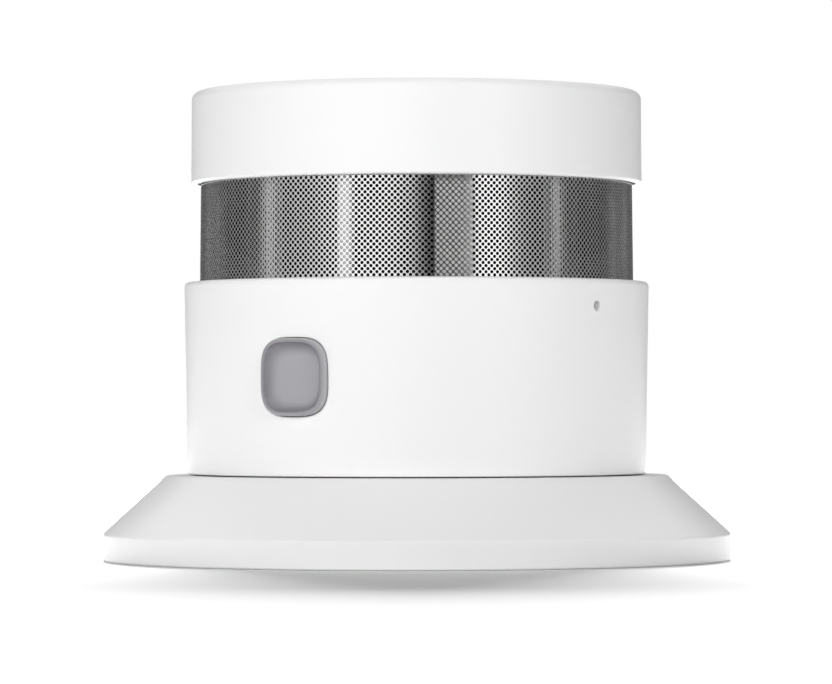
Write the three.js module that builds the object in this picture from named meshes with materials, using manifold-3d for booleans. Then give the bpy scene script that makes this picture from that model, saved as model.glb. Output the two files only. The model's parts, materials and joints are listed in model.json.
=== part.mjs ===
// A compact battery smoke detector: a round head with a perforated inlet band, twist-locked
// onto a flared ceiling base. Millimetres, +Z up, standing on the face that meets the ceiling.
// Bearings are degrees round the Z axis, 0 at the front (-Y) and growing towards +X.
import * as THREE from "three";
import { mergeVertices } from "three/addons/utils/BufferGeometryUtils.js";
import Module from "manifold-3d";

const wasm = await Module();
wasm.setup();

// Driving dimensions: mounting base
const baseDiameter = 81;
const baseHeight = 11;
const rimHeight = 3.5;
const rimRound = 0.5;
const shoulderMargin = 2.3;
const shoulderRound = 1.2;
const baseWall = 2.5;
const basePlate = 2.2;
const socketWall = 2.7;
const channelRibs = 12;
const channelRibWidth = 1.2;
const channelRibFoot = 0.5;
const screwSlotWidth = 3.8;
const screwSlotLength = 9;
const screwSlotSpacing = 36;

// Driving dimensions: head housing
const headDiameter = 60;
const housingHeight = 24.5;
const housingDraft = 0.45;
const housingWall = 2;
const housingRound = 0.7;
const deckThickness = 2.25;
const deckRim = 4.4;
const bandHeight = 12.65;
const bandInset = 2;
const bandTaper = 0.15;
const bandThickness = 0.4;
const bandSeatDepth = 1;
const bandColumns = 32;
const bandRows = 4;
const bandBorder = 0.7;
const bandStrip = 0.72;
const postWidth = 2;
const postThickness = 1.4;
const ductWidth = 4.7;
const ductWall = 0.5;
const ringFlangeWidth = 2.25;
const ringFlangeThickness = 1.2;
const snapRingHeight = 2.1;
const snapBead = 0.5;

// Driving dimensions: cap
const capOverhang = 1.1;
const capDraft = 0.07;
const capHeight = 11.9;
const capFit = 0.35;
const capRoof = 1.8;
const capTopRound = 1.2;
const capFootRound = 0.6;

// Bearings of what shows on the head
const buttonBearing = -30.8;
const pinholeBearing = 49.1;
const ductBearing = 9.8;
const postBearings = [-42.2, -19.2, 39.6, 72, 103, 134, 165, 196, 227, 258, 288.5];

// Twist lock between base and head
const skirtInset = 5.1;
const skirtWall = 1.6;
const lugReach = 2.2;
const lugHeight = 2.2;
const lugAngle = 16;
const ledgeHeight = 2.2;
const stopAngle = 3;
const stopSlack = 2;
const unlockAngle = 20;
const lockCount = 3;
const backPlate = 1.8;

// Test button and its switch
const buttonSize = 9.6;
const buttonCorner = 3.1;
const buttonHeightOnHousing = 12.15;
const buttonProud = 1;
const buttonRound = 0.6;
const buttonDish = 0.45;
const buttonTravel = 0.6;
const buttonFlange = 1;
const buttonFlangeLip = 1;
const buttonPost = 3;
const buttonPostLength = 2.4;
const switchWidth = 6;
const switchDepth = 3.4;
const switchPlunger = 3.4;
const switchPlungerProud = 1;
const buttonBoardWidth = 13;
const buttonBoardThickness = 1;
const ledWidth = 3;
const ledHeight = 1.4;
const ledDepth = 1.1;

// Reset pinhole and its switch
const pinholeDiameter = 1.3;
const pinholeBelowTop = 3.45;
const pinholeChamfer = 0.15;
const resetSwitchWidth = 6;
const resetSwitchDepth = 3.4;
const resetSwitchHeight = 2.5;
const resetPlunger = 1.6;
const resetPlungerProud = 1.4;
const resetTravel = 0.25;
const resetPinGap = 1.9;

// Cell and contacts
const cellDiameter = 17;
const cellLength = 34.5;
const cellNub = 6.2;
const cellNubHeight = 1.2;
const cellRound = 0.7;
const cellHeight = 15.2;
const baySideGap = 0.4;
const contactSpace = 2.2;
const bayWall = 1.4;
const contactWidth = 6;
const contactThickness = 0.4;
const contactSpring = 1.2;
const contactFold = 1;

// Boards and parts on them
const boardThickness = 1.6;
const boardEdgeGap = 0.5;
const chipSize = 7;
const chipHeight = 1.2;
const radioBoardWidth = 16;
const radioBoardDepth = 12;
const radioBoardThickness = 0.8;
const radioShieldWidth = 12;
const radioShieldDepth = 9;
const radioShieldHeight = 1.6;
const radioInset = 5.9;
const capacitorDiameter = 6.3;
const capacitorHeight = 3.4;
const capacitorRound = 0.5;
const capacitorInset = 2.7;
const capacitorBearing = 132;
const inductorSize = 5;
const inductorHeight = 2.6;
const inductorCircle = 30;
const inductorBearing = 250;

// Smoke chamber
const chamberSideGap = 0.4;
const chamberFloor = 1.2;
const chamberLid = 1.2;
const vaneCount = 24;
const vaneThickness = 0.9;
const vaneInset = 0.4;
const vaneOuterLeaf = 2.8;
const vaneInnerLeaf = 2.5;
const vaneSweep = 9;
const emitterBearing = 118;
const photodiodeBearing = 253;
const lampDiameter = 5;
const lampLength = 6.5;
const lampInset = 1.4;
const lampFlange = 1;
const lampLead = 0.5;
const lampLeadPitch = 2.54;
const lampHolderWidth = 7.6;

// Sounder
const sounderDiameter = 40.6;
const sounderWall = 1.5;
const sounderFloor = 1;
const sounderHeight = 6.2;
const sounderPort = 7;
const sounderLedgeHeight = 2;
const sounderLedgeWidth = 1.6;
const sounderBack = 1;
const sounderRingFoot = 0.5;
const piezoThickness = 0.4;
const ceramicDiameter = 25;
const ceramicThickness = 0.3;
const wireDiameter = 0.7;
const wireSpacing = 1.3;
const wireGapDepth = 1.5;
const wireLift = 2;
const wireOverlap = 4;

// Screws
const screwDiameter = 2.2;
const screwHead = 4;
const screwHeadHeight = 1.3;
const screwBoss = 5.2;
const pillarWeb = 1.2;
const backScrewLength = 9;
const backScrewInset = 0.8;
const boardScrewLength = 5.5;
const backScrewBearings = [-40, 40, 180];
const boardScrewBearings = [-70, 80, 200];

// Clearances
const seamGap = 0.35;
const fitGap = 0.3;
const slideGap = 0.2;
const bondLine = 0.1;
const cutThrough = 1;

// Fineness of the round surfaces
const shellSegments = 44;
const innerSegments = 24;
const smallSegments = 12;
const roundSteps = 2;
const wireSteps = 20;
const wireSides = 8;
const cellSegments = 16;
const buttonSegments = 180;
const dishSegments = 48;
const cornerSteps = 3;
const slotSteps = 4;
const sectorStep = 12;

// Diameters that follow the head's
const shoulderDiameter = headDiameter + 2 * shoulderMargin;
const deckOpening = headDiameter - 2 * deckRim;
const bandDiameter = headDiameter - 2 * bandInset;
const capDiameter = bandDiameter + 2 * capOverhang;
const skirtDiameter = headDiameter - 2 * skirtInset;

// Levels, worked out from the base upwards
const housingBottom = baseHeight + seamGap;
const housingTop = housingBottom + housingHeight;
const deckBottom = housingTop - deckThickness;
const pinholeHeight = housingTop - pinholeBelowTop;
const boardTop = pinholeHeight - resetSwitchHeight / 2 - bondLine;
const boardBottom = boardTop - boardThickness;
const capBottom = housingTop + bandHeight;
const capTop = capBottom + capHeight;
const chamberBottom = deckBottom + 2 * fitGap;
const ringBottom = capBottom + fitGap;
const ringFlangeTop = ringBottom + ringFlangeThickness;
const lidTop = ringBottom - fitGap;
const lidBottom = lidTop - chamberLid;
const vaneTop = lidBottom - fitGap;
const sounderBottom = ringFlangeTop + fitGap;
const skirtBottom = basePlate + 2 * fitGap;
const lugTop = skirtBottom + lugHeight;
const backPlateBottom = housingBottom + fitGap;
const backPlateTop = backPlateBottom + backPlate;
const buttonHeight = housingBottom + buttonHeightOnHousing;

// The sleeve's radius and its bore at a level
const housingRadius = (z) => headDiameter / 2 - (housingDraft * (housingTop - z)) / housingHeight;
const housingInner = (z) => housingRadius(z) - housingWall;

// Radii and distances shared by pieces that fit each other
const socketRadius = skirtDiameter / 2 + lugReach + fitGap;
const postOuter = bandDiameter / 2 - bandTaper - bandThickness - fitGap;
const postInner = postOuter - postThickness;
const chamberRadius = deckOpening / 2 - chamberSideGap;
const ringFlangeOpening = 2 * (postInner - ringFlangeWidth);
const capInner = postOuter + capFit;
const screwBore = screwDiameter + 2 * slideGap;
const backScrewCircle = skirtDiameter - 2 * (skirtWall + backScrewInset) - screwHead;
const boardScrewCircle = 2 * (housingInner(boardBottom) - fitGap) - screwHead;
const vaneRingDiameter = 2 * (chamberRadius - vaneInset);
const vaneBendDiameter = vaneRingDiameter - 2 * vaneOuterLeaf;
const vaneInnerDiameter = vaneBendDiameter - 2 * vaneInnerLeaf;
const lampBack = vaneInnerDiameter / 2 - lampInset;
const lampNose = lampBack - lampLength;
const leadDistance = lampBack + lampLead;
const resetSwitchDistance = housingInner(pinholeHeight) - resetPinGap - resetPlungerProud;
const radioDistance = housingInner(boardBottom) - boardEdgeGap - radioInset - radioBoardDepth / 2;
const capacitorCircle = 2 * (housingInner(boardBottom) - capacitorInset) - capacitorDiameter;
const bayHalfWidth = cellDiameter / 2 + baySideGap;
const bayHalfLength = cellLength / 2 + contactSpace;
const bayRoofBottom = cellHeight + cellDiameter / 2 + fitGap;
const bayRoofTop = bayRoofBottom + bayWall;
const lampHeight = (chamberBottom + chamberFloor + vaneTop) / 2;
const flangeHalf = buttonSize / 2 + buttonFlangeLip;
const flangeFront = Math.sqrt(housingInner(buttonHeight) ** 2 - flangeHalf ** 2) - fitGap;
const flangeBack = flangeFront - buttonFlange;
const plungerTip = flangeBack - buttonPostLength - fitGap;
const switchFace = plungerTip - switchPlungerProud;
const buttonBoardDistance = switchFace - switchDepth - bondLine;

const rad = THREE.MathUtils.degToRad;

// Materials
const plastic = (color, roughness) => new THREE.MeshStandardMaterial({ color, roughness, metalness: 0 });
const metal = (color, roughness) => new THREE.MeshStandardMaterial({ color, roughness, metalness: 1 });
const whiteShell = plastic(0xf1f1f1, 0.35);
const whiteInner = plastic(0xe9e9e8, 0.5);
const greyLens = plastic(0xa3a2a7, 0.25);
const blackOptic = plastic(0x131315, 0.75);
const steelScreen = metal(0xc9c9cc, 0.3);
const steelScrew = metal(0xb4b5b8, 0.35);
const nickelContact = metal(0xcfccc2, 0.3);
const brassDisc = metal(0xc9a45a, 0.35);
const greenBoard = plastic(0x1f5a3a, 0.5);
const blackPart = plastic(0x1c1c1e, 0.5);
const clearLamp = plastic(0xb9c4d6, 0.15);
const whiteCeramic = plastic(0xd8d5cc, 0.6);
const cellSleeve = plastic(0x3f4a55, 0.4);
const redWire = plastic(0xa22a24, 0.5);

// Solids: three.js makes the shapes, manifold-3d joins and cuts them.
function solidOf(geometry) {
  const bare = geometry.clone();
  bare.deleteAttribute("normal");
  bare.deleteAttribute("uv");
  const merged = mergeVertices(bare, 1e-4);
  const corners = [];
  for (let i = 0; i < merged.index.count; i += 3) {
    const [a, b, c] = [0, 1, 2].map((k) => merged.index.getX(i + k));
    if (a !== b && b !== c && c !== a) corners.push(a, b, c);
  }
  return new wasm.Manifold(
    new wasm.Mesh({
      numProp: 3,
      vertProperties: merged.attributes.position.array,
      triVerts: new Uint32Array(corners),
    }),
  );
}

function geometryOf(solid) {
  const mesh = solid.getMesh();
  return new THREE.BufferGeometry()
    .setAttribute("position", new THREE.BufferAttribute(mesh.vertProperties, 3))
    .setIndex(new THREE.BufferAttribute(mesh.triVerts, 1));
}

const join = (...parts) => geometryOf(parts.map(solidOf).reduce((a, b) => a.add(b)));
const cut = (body, ...tools) =>
  geometryOf(tools.map(solidOf).reduce((a, b) => a.subtract(b), solidOf(body)));
const common = (a, b) => geometryOf(solidOf(a).intersect(solidOf(b)));

// The points of an arc in an outline of [radius, height] points, from one angle to another.
function arc(centreRadius, centreHeight, radius, from, to, steps = roundSteps) {
  return Array.from({ length: steps + 1 }, (_, i) => {
    const angle = rad(from + ((to - from) * i) / steps);
    return [centreRadius + radius * Math.cos(angle), centreHeight + radius * Math.sin(angle)];
  });
}

// A closed outline of [radius, height] points, anticlockwise, turned round the Z axis.
function revolve(outline, segments = shellSegments) {
  const points = [...outline, outline[0]].map(([r, z]) => new THREE.Vector2(r, z));
  return new THREE.LatheGeometry(points, segments).rotateX(Math.PI / 2);
}

// A plain disc or ring between two levels.
function ring(innerRadius, outerRadius, bottom, top, segments = innerSegments) {
  const outline = [[innerRadius, bottom], [outerRadius, bottom], [outerRadius, top], [innerRadius, top]];
  return revolve(outline, segments);
}

// An outline drawn out between two levels. Each arc in it takes twice the given steps.
function extrude(shape, bottom, top, curveSegments = roundSteps) {
  return new THREE.ExtrudeGeometry(shape, { depth: top - bottom, bevelEnabled: false, curveSegments })
    .translate(0, 0, bottom);
}

function block(width, depth, bottom, top, x = 0, y = 0) {
  return new THREE.BoxGeometry(width, depth, top - bottom).translate(x, y, (bottom + top) / 2);
}

function column(diameter, bottom, top, x = 0, y = 0, segments = smallSegments) {
  return new THREE.CylinderGeometry(diameter / 2, diameter / 2, top - bottom, segments)
    .rotateX(Math.PI / 2)
    .translate(x, y, (bottom + top) / 2);
}

// A piece of a ring between two bearings.
function sector(innerRadius, outerRadius, fromBearing, toBearing, bottom, top) {
  const from = rad(fromBearing - 90);
  const to = rad(toBearing - 90);
  const shape = new THREE.Shape();
  shape.absarc(0, 0, outerRadius, from, to, false);
  shape.absarc(0, 0, innerRadius, to, from, true);
  const steps = Math.max(1, Math.ceil((toBearing - fromBearing) / sectorStep));
  return extrude(shape, bottom, top, steps);
}

// A square with round corners, standing upright and facing the front, between two distances
// from the Z axis, with its middle at a height.
function frontSquare(size, corner, near, far, height) {
  const half = size / 2;
  const shape = new THREE.Shape();
  shape.moveTo(half, -half + corner);
  shape.absarc(half - corner, half - corner, corner, 0, Math.PI / 2, false);
  shape.absarc(-half + corner, half - corner, corner, Math.PI / 2, Math.PI, false);
  shape.absarc(-half + corner, -half + corner, corner, Math.PI, 1.5 * Math.PI, false);
  shape.absarc(half - corner, -half + corner, corner, 1.5 * Math.PI, 2 * Math.PI, false);
  return extrude(shape, near, far, cornerSteps).rotateX(Math.PI / 2).translate(0, 0, height);
}

// A round bar lying along the front direction, between two distances from the Z axis.
function frontColumn(diameter, near, far, height, x = 0, segments = smallSegments, farDiameter = diameter) {
  return new THREE.CylinderGeometry(diameter / 2, farDiameter / 2, far - near, segments)
    .translate(x, -(near + far) / 2, height);
}

const turned = (geometry, bearing) => geometry.rotateZ(rad(bearing));
const onCircle = (diameter, bearing) => [
  (diameter / 2) * Math.sin(rad(bearing)),
  (-diameter / 2) * Math.cos(rad(bearing)),
];

function piece(name, geometry, material) {
  const mesh = new THREE.Mesh(geometry, material);
  mesh.name = name;
  return mesh;
}

// Mounting base
// The flare's rim and shoulder corners, moved into the wall by an inset.
function flareCorners(inset) {
  const rim = baseDiameter / 2;
  const shoulder = shoulderDiameter / 2;
  const slope = Math.atan2(baseHeight - rimHeight, rim - shoulder);
  return {
    slope,
    rim: [rim - inset, rimHeight - (inset * (1 - Math.sin(slope))) / Math.cos(slope)],
    shoulder: [shoulder - (inset * (1 - Math.cos(slope))) / Math.sin(slope), baseHeight - inset],
  };
}

function mountingBase() {
  const outer = flareCorners(0);
  const inner = flareCorners(baseWall);
  const middle = flareCorners(baseWall / 2);
  const socketOuter = socketRadius + socketWall;
  const shoulderSetback = shoulderRound * Math.tan(outer.slope / 2);
  const shell = revolve([
    [0, 0],
    [socketOuter, 0],
    [socketOuter, inner.shoulder[1]],
    inner.shoulder,
    inner.rim,
    [inner.rim[0], 0],
    ...arc(outer.rim[0] - rimRound, rimRound, rimRound, -90, 0),
    outer.rim,
    ...arc(
      outer.shoulder[0] - shoulderSetback,
      baseHeight - shoulderRound,
      shoulderRound,
      90 - THREE.MathUtils.radToDeg(outer.slope),
      90,
    ),
    [socketRadius, baseHeight],
    [socketRadius, basePlate],
    [0, basePlate],
  ]);
  const ribSpace = revolve([
    [socketOuter - socketWall / 2, channelRibFoot],
    [middle.rim[0], channelRibFoot],
    middle.rim,
    middle.shoulder,
    [socketOuter - socketWall / 2, middle.shoulder[1]],
  ]);
  const ribs = Array.from({ length: channelRibs / 2 }, (_, i) =>
    turned(block(baseDiameter, channelRibWidth, 0, baseHeight), (i * 360) / channelRibs),
  );
  const ledges = Array.from({ length: lockCount }, (_, i) => lockLedge(lockBearing(i)));
  const slots = [-1, 1].map((side) => screwSlot((side * screwSlotSpacing) / 2));
  return cut(join(shell, common(join(...ribs), ribSpace), ...ledges), ...slots);
}

const lockBearing = (i) => buttonBearing + 60 + (i * 360) / lockCount;

// One ledge of the twist lock over a locked lug, with the walls that stop the lug at both ends
// of its turn. The window between the ledge and the far wall lets the lug out.
function lockLedge(bearing) {
  const inner = skirtDiameter / 2 + fitGap + slideGap;
  const outer = socketRadius + socketWall / 2;
  const bottom = lugTop + fitGap;
  const top = bottom + ledgeHeight;
  const lockedEnd = bearing - lugAngle / 2 - stopSlack;
  const openEnd = bearing + lugAngle / 2 + stopSlack + unlockAngle;
  return join(
    sector(inner, outer, lockedEnd, bearing + lugAngle / 2 + stopSlack, bottom, top),
    sector(inner, outer, lockedEnd - stopAngle, lockedEnd, basePlate - fitGap, top),
    sector(inner, outer, openEnd, openEnd + stopAngle, basePlate - fitGap, top),
  );
}

function screwSlot(x) {
  const half = (screwSlotLength - screwSlotWidth) / 2;
  const shape = new THREE.Shape();
  shape.absarc(0, half, screwSlotWidth / 2, 0, Math.PI, false);
  shape.absarc(0, -half, screwSlotWidth / 2, Math.PI, 2 * Math.PI, false);
  return extrude(shape, -cutThrough, basePlate + cutThrough, slotSteps).translate(x, 0, 0);
}

// Head housing: sleeve, deck, posts behind the screen and the ring that the cap snaps onto
function headHousing() {
  const grooveOuter = bandDiameter / 2 + fitGap;
  const grooveInner = bandDiameter / 2 - bandThickness - fitGap;
  const grooveBottom = housingTop - bandSeatDepth - fitGap;
  const sleeve = revolve([
    [housingInner(housingBottom), housingBottom],
    [housingRadius(housingBottom), housingBottom],
    ...arc(housingRadius(housingTop) - housingRound, housingTop - housingRound, housingRound, 0, 90),
    [grooveOuter, housingTop],
    [grooveOuter, grooveBottom],
    [grooveInner, grooveBottom],
    [grooveInner, housingTop],
    [deckOpening / 2, housingTop],
    [deckOpening / 2, deckBottom],
    [housingInner(deckBottom), deckBottom],
  ]);
  const bosses = boardScrewBearings.map((bearing) => boardBoss(bearing));
  const pillars = backScrewBearings.map((bearing) => backPillar(buttonBearing + bearing));
  const cage = join(snapRing(), ...postBearings.map((bearing) => post(bearing, postWidth)));
  const duct = post(ductBearing, ductWidth);
  const window = turned(
    frontSquare(
      buttonSize + 2 * slideGap,
      buttonCorner + slideGap,
      housingInner(buttonHeight) - 2 * housingWall,
      headDiameter / 2 + cutThrough,
      buttonHeight,
    ),
    buttonBearing,
  );
  return cut(join(sleeve, cage, duct, ...bosses, ...pillars), window, pinhole(), ductChannel());
}

function post(bearing, width) {
  const half = THREE.MathUtils.radToDeg(width / 2 / postOuter);
  return sector(
    postInner,
    postOuter,
    bearing - half,
    bearing + half,
    housingTop - deckThickness / 2,
    ringBottom + ringFlangeThickness / 2,
  );
}

// The ring over the posts: a flange that keeps the chamber down, and a wall with a snap bead.
function snapRing() {
  const wallTop = ringFlangeTop + snapRingHeight;
  const bead = (ringFlangeTop + wallTop) / 2;
  return revolve([
    [ringFlangeOpening / 2, ringBottom],
    [postOuter, ringBottom],
    [postOuter, bead - snapBead],
    [postOuter + snapBead, bead],
    [postOuter, bead + snapBead],
    [postOuter, wallTop],
    [postInner, wallTop],
    [postInner, ringFlangeTop],
    [ringFlangeOpening / 2, ringFlangeTop],
  ]);
}

// The groove behind the wide post that the sounder's wires run up.
function ductChannel() {
  const outer = postOuter - ductWall;
  const inner = ringFlangeOpening / 2 - cutThrough;
  const width = wireSpacing + wireDiameter + 2 * fitGap;
  const channel = block(width, outer - inner, deckBottom - cutThrough, capTop, 0, -(outer + inner) / 2);
  return turned(channel, ductBearing);
}

function pinhole() {
  const surface = housingRadius(pinholeHeight);
  const hole = frontColumn(pinholeDiameter, surface - 2 * housingWall, surface + cutThrough, pinholeHeight);
  const chamfer = frontColumn(
    pinholeDiameter + 2 * (pinholeChamfer + cutThrough),
    surface - pinholeChamfer,
    surface + cutThrough,
    pinholeHeight,
    0,
    smallSegments,
    pinholeDiameter,
  );
  return turned(join(hole, chamfer), pinholeBearing);
}

// A short boss under the deck that takes a screw through the main board.
function boardBoss(bearing) {
  const [x, y] = onCircle(boardScrewCircle, bearing);
  return cut(
    column(screwBoss, boardTop + fitGap, deckBottom + fitGap, x, y),
    column(screwBore, boardTop, deckBottom - fitGap, x, y),
  );
}

// A pillar on a web from the sleeve that takes a screw through the back plate.
function backPillar(bearing) {
  const distance = backScrewCircle / 2;
  const bottom = backPlateTop + fitGap;
  const top = bottom + backScrewLength;
  const reach = housingInner(bottom) + housingWall / 2;
  const pillar = join(
    column(screwBoss, bottom, top, 0, -distance),
    block(pillarWeb, reach - distance, bottom, top, 0, -(reach + distance) / 2),
  );
  const bore = column(screwBore, bottom - cutThrough, top - cutThrough, 0, -distance);
  return turned(cut(pillar, bore), bearing);
}

// Inlet screen: a sheet band with diamond holes in staggered rows
// Each hole's half sizes leave a strip between it and its diagonal neighbours: half a column and
// one row away on each side, so a hole without strips would be one column wide and two rows high.
function meshScreen() {
  const columns = bandColumns;
  const rows = bandRows;
  const bottom = housingTop - bandSeatDepth;
  const top = capBottom + bandSeatDepth;
  const holeBottom = housingTop + bandBorder;
  const rowPitch = (bandHeight - 2 * bandBorder) / (rows - 1 + 2 * bandStrip);
  const halfHeight = rowPitch * bandStrip;
  const halfWidth = bandStrip / 2;
  const outerAt = (z) => bandDiameter / 2 - (bandTaper * (z - bottom)) / (top - bottom);
  const positions = [];
  const corners = [];
  const point = (column, z, inside) => {
    const angle = (((column + columns) % columns) / columns) * 2 * Math.PI;
    const radius = outerAt(z) - (inside ? bandThickness : 0);
    positions.push(radius * Math.cos(angle), radius * Math.sin(angle), z);
    return positions.length / 3 - 1;
  };
  // A face of the outer skin, given anticlockwise from outside, and its twin on the inner skin.
  const skin = (...places) => {
    const outside = places.map(([column, z]) => point(column, z, false));
    const inside = places.map(([column, z]) => point(column, z, true));
    for (let i = 1; i < places.length - 1; i++) {
      corners.push(outside[0], outside[i], outside[i + 1]);
      corners.push(inside[0], inside[i + 1], inside[i]);
    }
  };
  // A wall through the sheet, along an edge that has the sheet on its left from outside.
  const wall = ([columnA, zA], [columnB, zB]) => {
    const [a, b] = [point(columnA, zA, false), point(columnB, zB, false)];
    const [c, d] = [point(columnB, zB, true), point(columnA, zA, true)];
    corners.push(a, c, b, a, d, c);
  };
  const rowHeight = (row) => holeBottom + halfHeight + rowPitch * row;
  for (let row = 0; row < rows; row++) {
    const z = rowHeight(row);
    const above = rowHeight(row + 1);
    for (let i = 0; i < columns; i++) {
      const at = i + (row % 2) / 2;
      const left = [at - halfWidth, z];
      const right = [at + halfWidth, z];
      const upper = [at, z + halfHeight];
      const lower = [at, z - halfHeight];
      const nextLeft = [at + 1 - halfWidth, z];
      wall(right, lower);
      wall(lower, left);
      wall(left, upper);
      wall(upper, right);
      if (row + 1 < rows) {
        const overRight = [at + 0.5 - halfWidth, above];
        const overLower = [at + 0.5, above - halfHeight];
        const overLeft = [at - 0.5 + halfWidth, above];
        const overLeftLower = [at - 0.5, above - halfHeight];
        skin(upper, right, overLower, overRight);
        skin(left, upper, overLeft, overLeftLower);
      }
      const overLower = [at + 0.5, row + 1 < rows ? above - halfHeight : top];
      const underUpper = [at + 0.5, row > 0 ? rowHeight(row - 1) + halfHeight : bottom];
      skin(right, underUpper, nextLeft, overLower);
      if (row === 0) {
        skin([at - 0.5, bottom], lower, left);
        skin(lower, [at - 0.5, bottom], [at + 0.5, bottom], right);
        wall([at - 0.5, bottom], [at + 0.5, bottom]);
      }
      if (row === rows - 1) {
        skin(left, upper, [at - 0.5, top]);
        skin(upper, right, [at + 0.5, top], [at - 0.5, top]);
        wall([at + 0.5, top], [at - 0.5, top]);
      }
    }
  }
  const sheet = new THREE.BufferGeometry()
    .setAttribute("position", new THREE.Float32BufferAttribute(positions, 3))
    .setIndex(corners);
  return geometryOf(solidOf(sheet));
}

// Cap
function topCap() {
  const footRadius = capDiameter / 2;
  const topRadius = footRadius - capDraft;
  const seatRadius = bandDiameter / 2 + fitGap;
  const seatTop = capBottom + bandSeatDepth + fitGap;
  const bead = ringFlangeTop + snapRingHeight / 2;
  const ceiling = capTop - capRoof;
  return revolve([
    [seatRadius, capBottom],
    ...arc(footRadius - capFootRound, capBottom + capFootRound, capFootRound, -90, 0),
    ...arc(topRadius - capTopRound, capTop - capTopRound, capTopRound, 0, 90),
    [0, capTop],
    [0, ceiling],
    [capInner, ceiling],
    [capInner, bead + 2 * snapBead],
    [capInner + snapBead, bead + snapBead / 2],
    [capInner + snapBead, bead - snapBead / 2],
    [capInner, bead - 2 * snapBead],
    [capInner, seatTop],
    [seatRadius, seatTop],
  ]);
}

// Back plate: closes the housing, holds the cell and carries the twist lock's lugs
function backPlatePiece() {
  const skirtOuter = skirtDiameter / 2;
  const skirtInner = skirtOuter - skirtWall;
  const plate = revolve([
    [0, backPlateBottom],
    [skirtInner, backPlateBottom],
    [skirtInner, skirtBottom],
    [skirtOuter, skirtBottom],
    [skirtOuter, backPlateBottom],
    [housingInner(backPlateBottom) - fitGap, backPlateBottom],
    [housingInner(backPlateBottom) - fitGap, backPlateTop],
    [0, backPlateTop],
  ]);
  const lugs = Array.from({ length: lockCount }, (_, i) => {
    const bearing = lockBearing(i) - buttonBearing;
    return sector(
      skirtOuter - skirtWall / 2,
      skirtOuter + lugReach,
      bearing - lugAngle / 2,
      bearing + lugAngle / 2,
      skirtBottom,
      lugTop,
    );
  });
  const bayShell = block(
    2 * (bayHalfLength + bayWall),
    2 * (bayHalfWidth + bayWall),
    backPlateBottom,
    bayRoofTop,
  );
  const bay = block(2 * bayHalfLength, 2 * bayHalfWidth, skirtBottom, bayRoofBottom);
  const contactSlots = [-1, 1].map((side) =>
    block(
      contactSpace - 2 * fitGap + contactThickness,
      contactWidth + 2 * fitGap,
      bayRoofBottom - cutThrough,
      bayRoofTop + cutThrough,
      side * (bayHalfLength - contactSpace / 2),
    ),
  );
  const screwHoles = backScrewBearings.map((bearing) => {
    const [x, y] = onCircle(backScrewCircle, bearing);
    return column(screwBore, backPlateBottom - cutThrough, backPlateTop + cutThrough, x, y);
  });
  return cut(join(plate, bayShell, ...lugs), bay, ...contactSlots, ...screwHoles);
}

// Cell, lying along X
function cell() {
  const half = cellLength / 2;
  const radius = cellDiameter / 2;
  const shoulder = half - cellNubHeight;
  return revolve(
    [
      [0, -half],
      ...arc(radius - cellRound, -half + cellRound, cellRound, -90, 0),
      ...arc(radius - cellRound, shoulder - cellRound, cellRound, 0, 90),
      [cellNub / 2, shoulder],
      [cellNub / 2, half],
      [0, half],
    ],
    cellSegments,
  )
    .rotateY(Math.PI / 2)
    .translate(0, 0, cellHeight);
}

// A sheet-metal strip, bent along a line of [x, z] points and as wide as a contact.
function bentStrip(line) {
  const half = contactThickness / 2;
  const sides = line.map(([x, z], i) => {
    const [x0, z0] = line[Math.max(0, i - 1)];
    const [x1, z1] = line[Math.min(line.length - 1, i + 1)];
    const length = Math.hypot(x1 - x0, z1 - z0);
    return [(-(z1 - z0) / length) * half, ((x1 - x0) / length) * half, x, z];
  });
  const left = sides.map(([nx, nz, x, z]) => new THREE.Vector2(x + nx, z + nz));
  const right = sides.map(([nx, nz, x, z]) => new THREE.Vector2(x - nx, z - nz)).reverse();
  const strip = new THREE.Shape([...left, ...right]);
  return extrude(strip, -contactWidth / 2, contactWidth / 2).rotateX(Math.PI / 2);
}

// The contact at the cell's nub: a straight strip with a solder tail up to the board.
function positiveContact() {
  const x = bayHalfLength - contactSpace / 2;
  return bentStrip([
    [x, cellHeight - cellNub],
    [x, cellHeight + cellNub],
    [x, boardBottom - fitGap],
  ]);
}

// The contact at the flat end: the same strip, folded back into a bowed spring leaf.
function negativeContact() {
  const x = -(bayHalfLength - contactSpace / 2);
  const foot = cellHeight - cellNub;
  const bow = x + contactSpring - contactThickness;
  return bentStrip([
    [x + contactThickness, cellHeight + cellNub / 2],
    [bow, cellHeight],
    [x + 2 * contactThickness, foot + contactFold],
    [x + contactThickness, foot],
    [x, foot + contactFold / 2],
    [x, cellHeight + cellNub],
    [x, boardBottom - fitGap],
  ]);
}

// A pan-head screw standing head down, its head's bearing face at a height.
function screw(length, seat, x, y) {
  const shank = screwDiameter / 2;
  const head = screwHead / 2;
  const body = revolve(
    [
      [0, seat - screwHeadHeight],
      [head - screwHeadHeight / 2, seat - screwHeadHeight],
      [head, seat - screwHeadHeight / 2],
      [head, seat],
      [shank, seat],
      [shank, seat + length - shank],
      [0, seat + length],
    ],
    smallSegments,
  );
  return body.translate(x, y, 0);
}

// Boards
function mainBoard() {
  const holes = boardScrewBearings.map((bearing) => {
    const [x, y] = onCircle(boardScrewCircle, bearing);
    return column(screwBore, boardBottom - cutThrough, boardTop + cutThrough, x, y);
  });
  const disc = ring(0, housingInner(boardBottom) - boardEdgeGap, boardBottom, boardTop);
  const notchDepth = flangeBack - buttonTravel - fitGap;
  const notch = turned(
    block(
      buttonSize + 2 * (buttonFlangeLip + fitGap),
      headDiameter / 2 - notchDepth,
      boardBottom - cutThrough,
      boardTop + cutThrough,
      0,
      -(headDiameter / 2 + notchDepth) / 2,
    ),
    buttonBearing,
  );
  return cut(disc, notch, ...holes);
}

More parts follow.
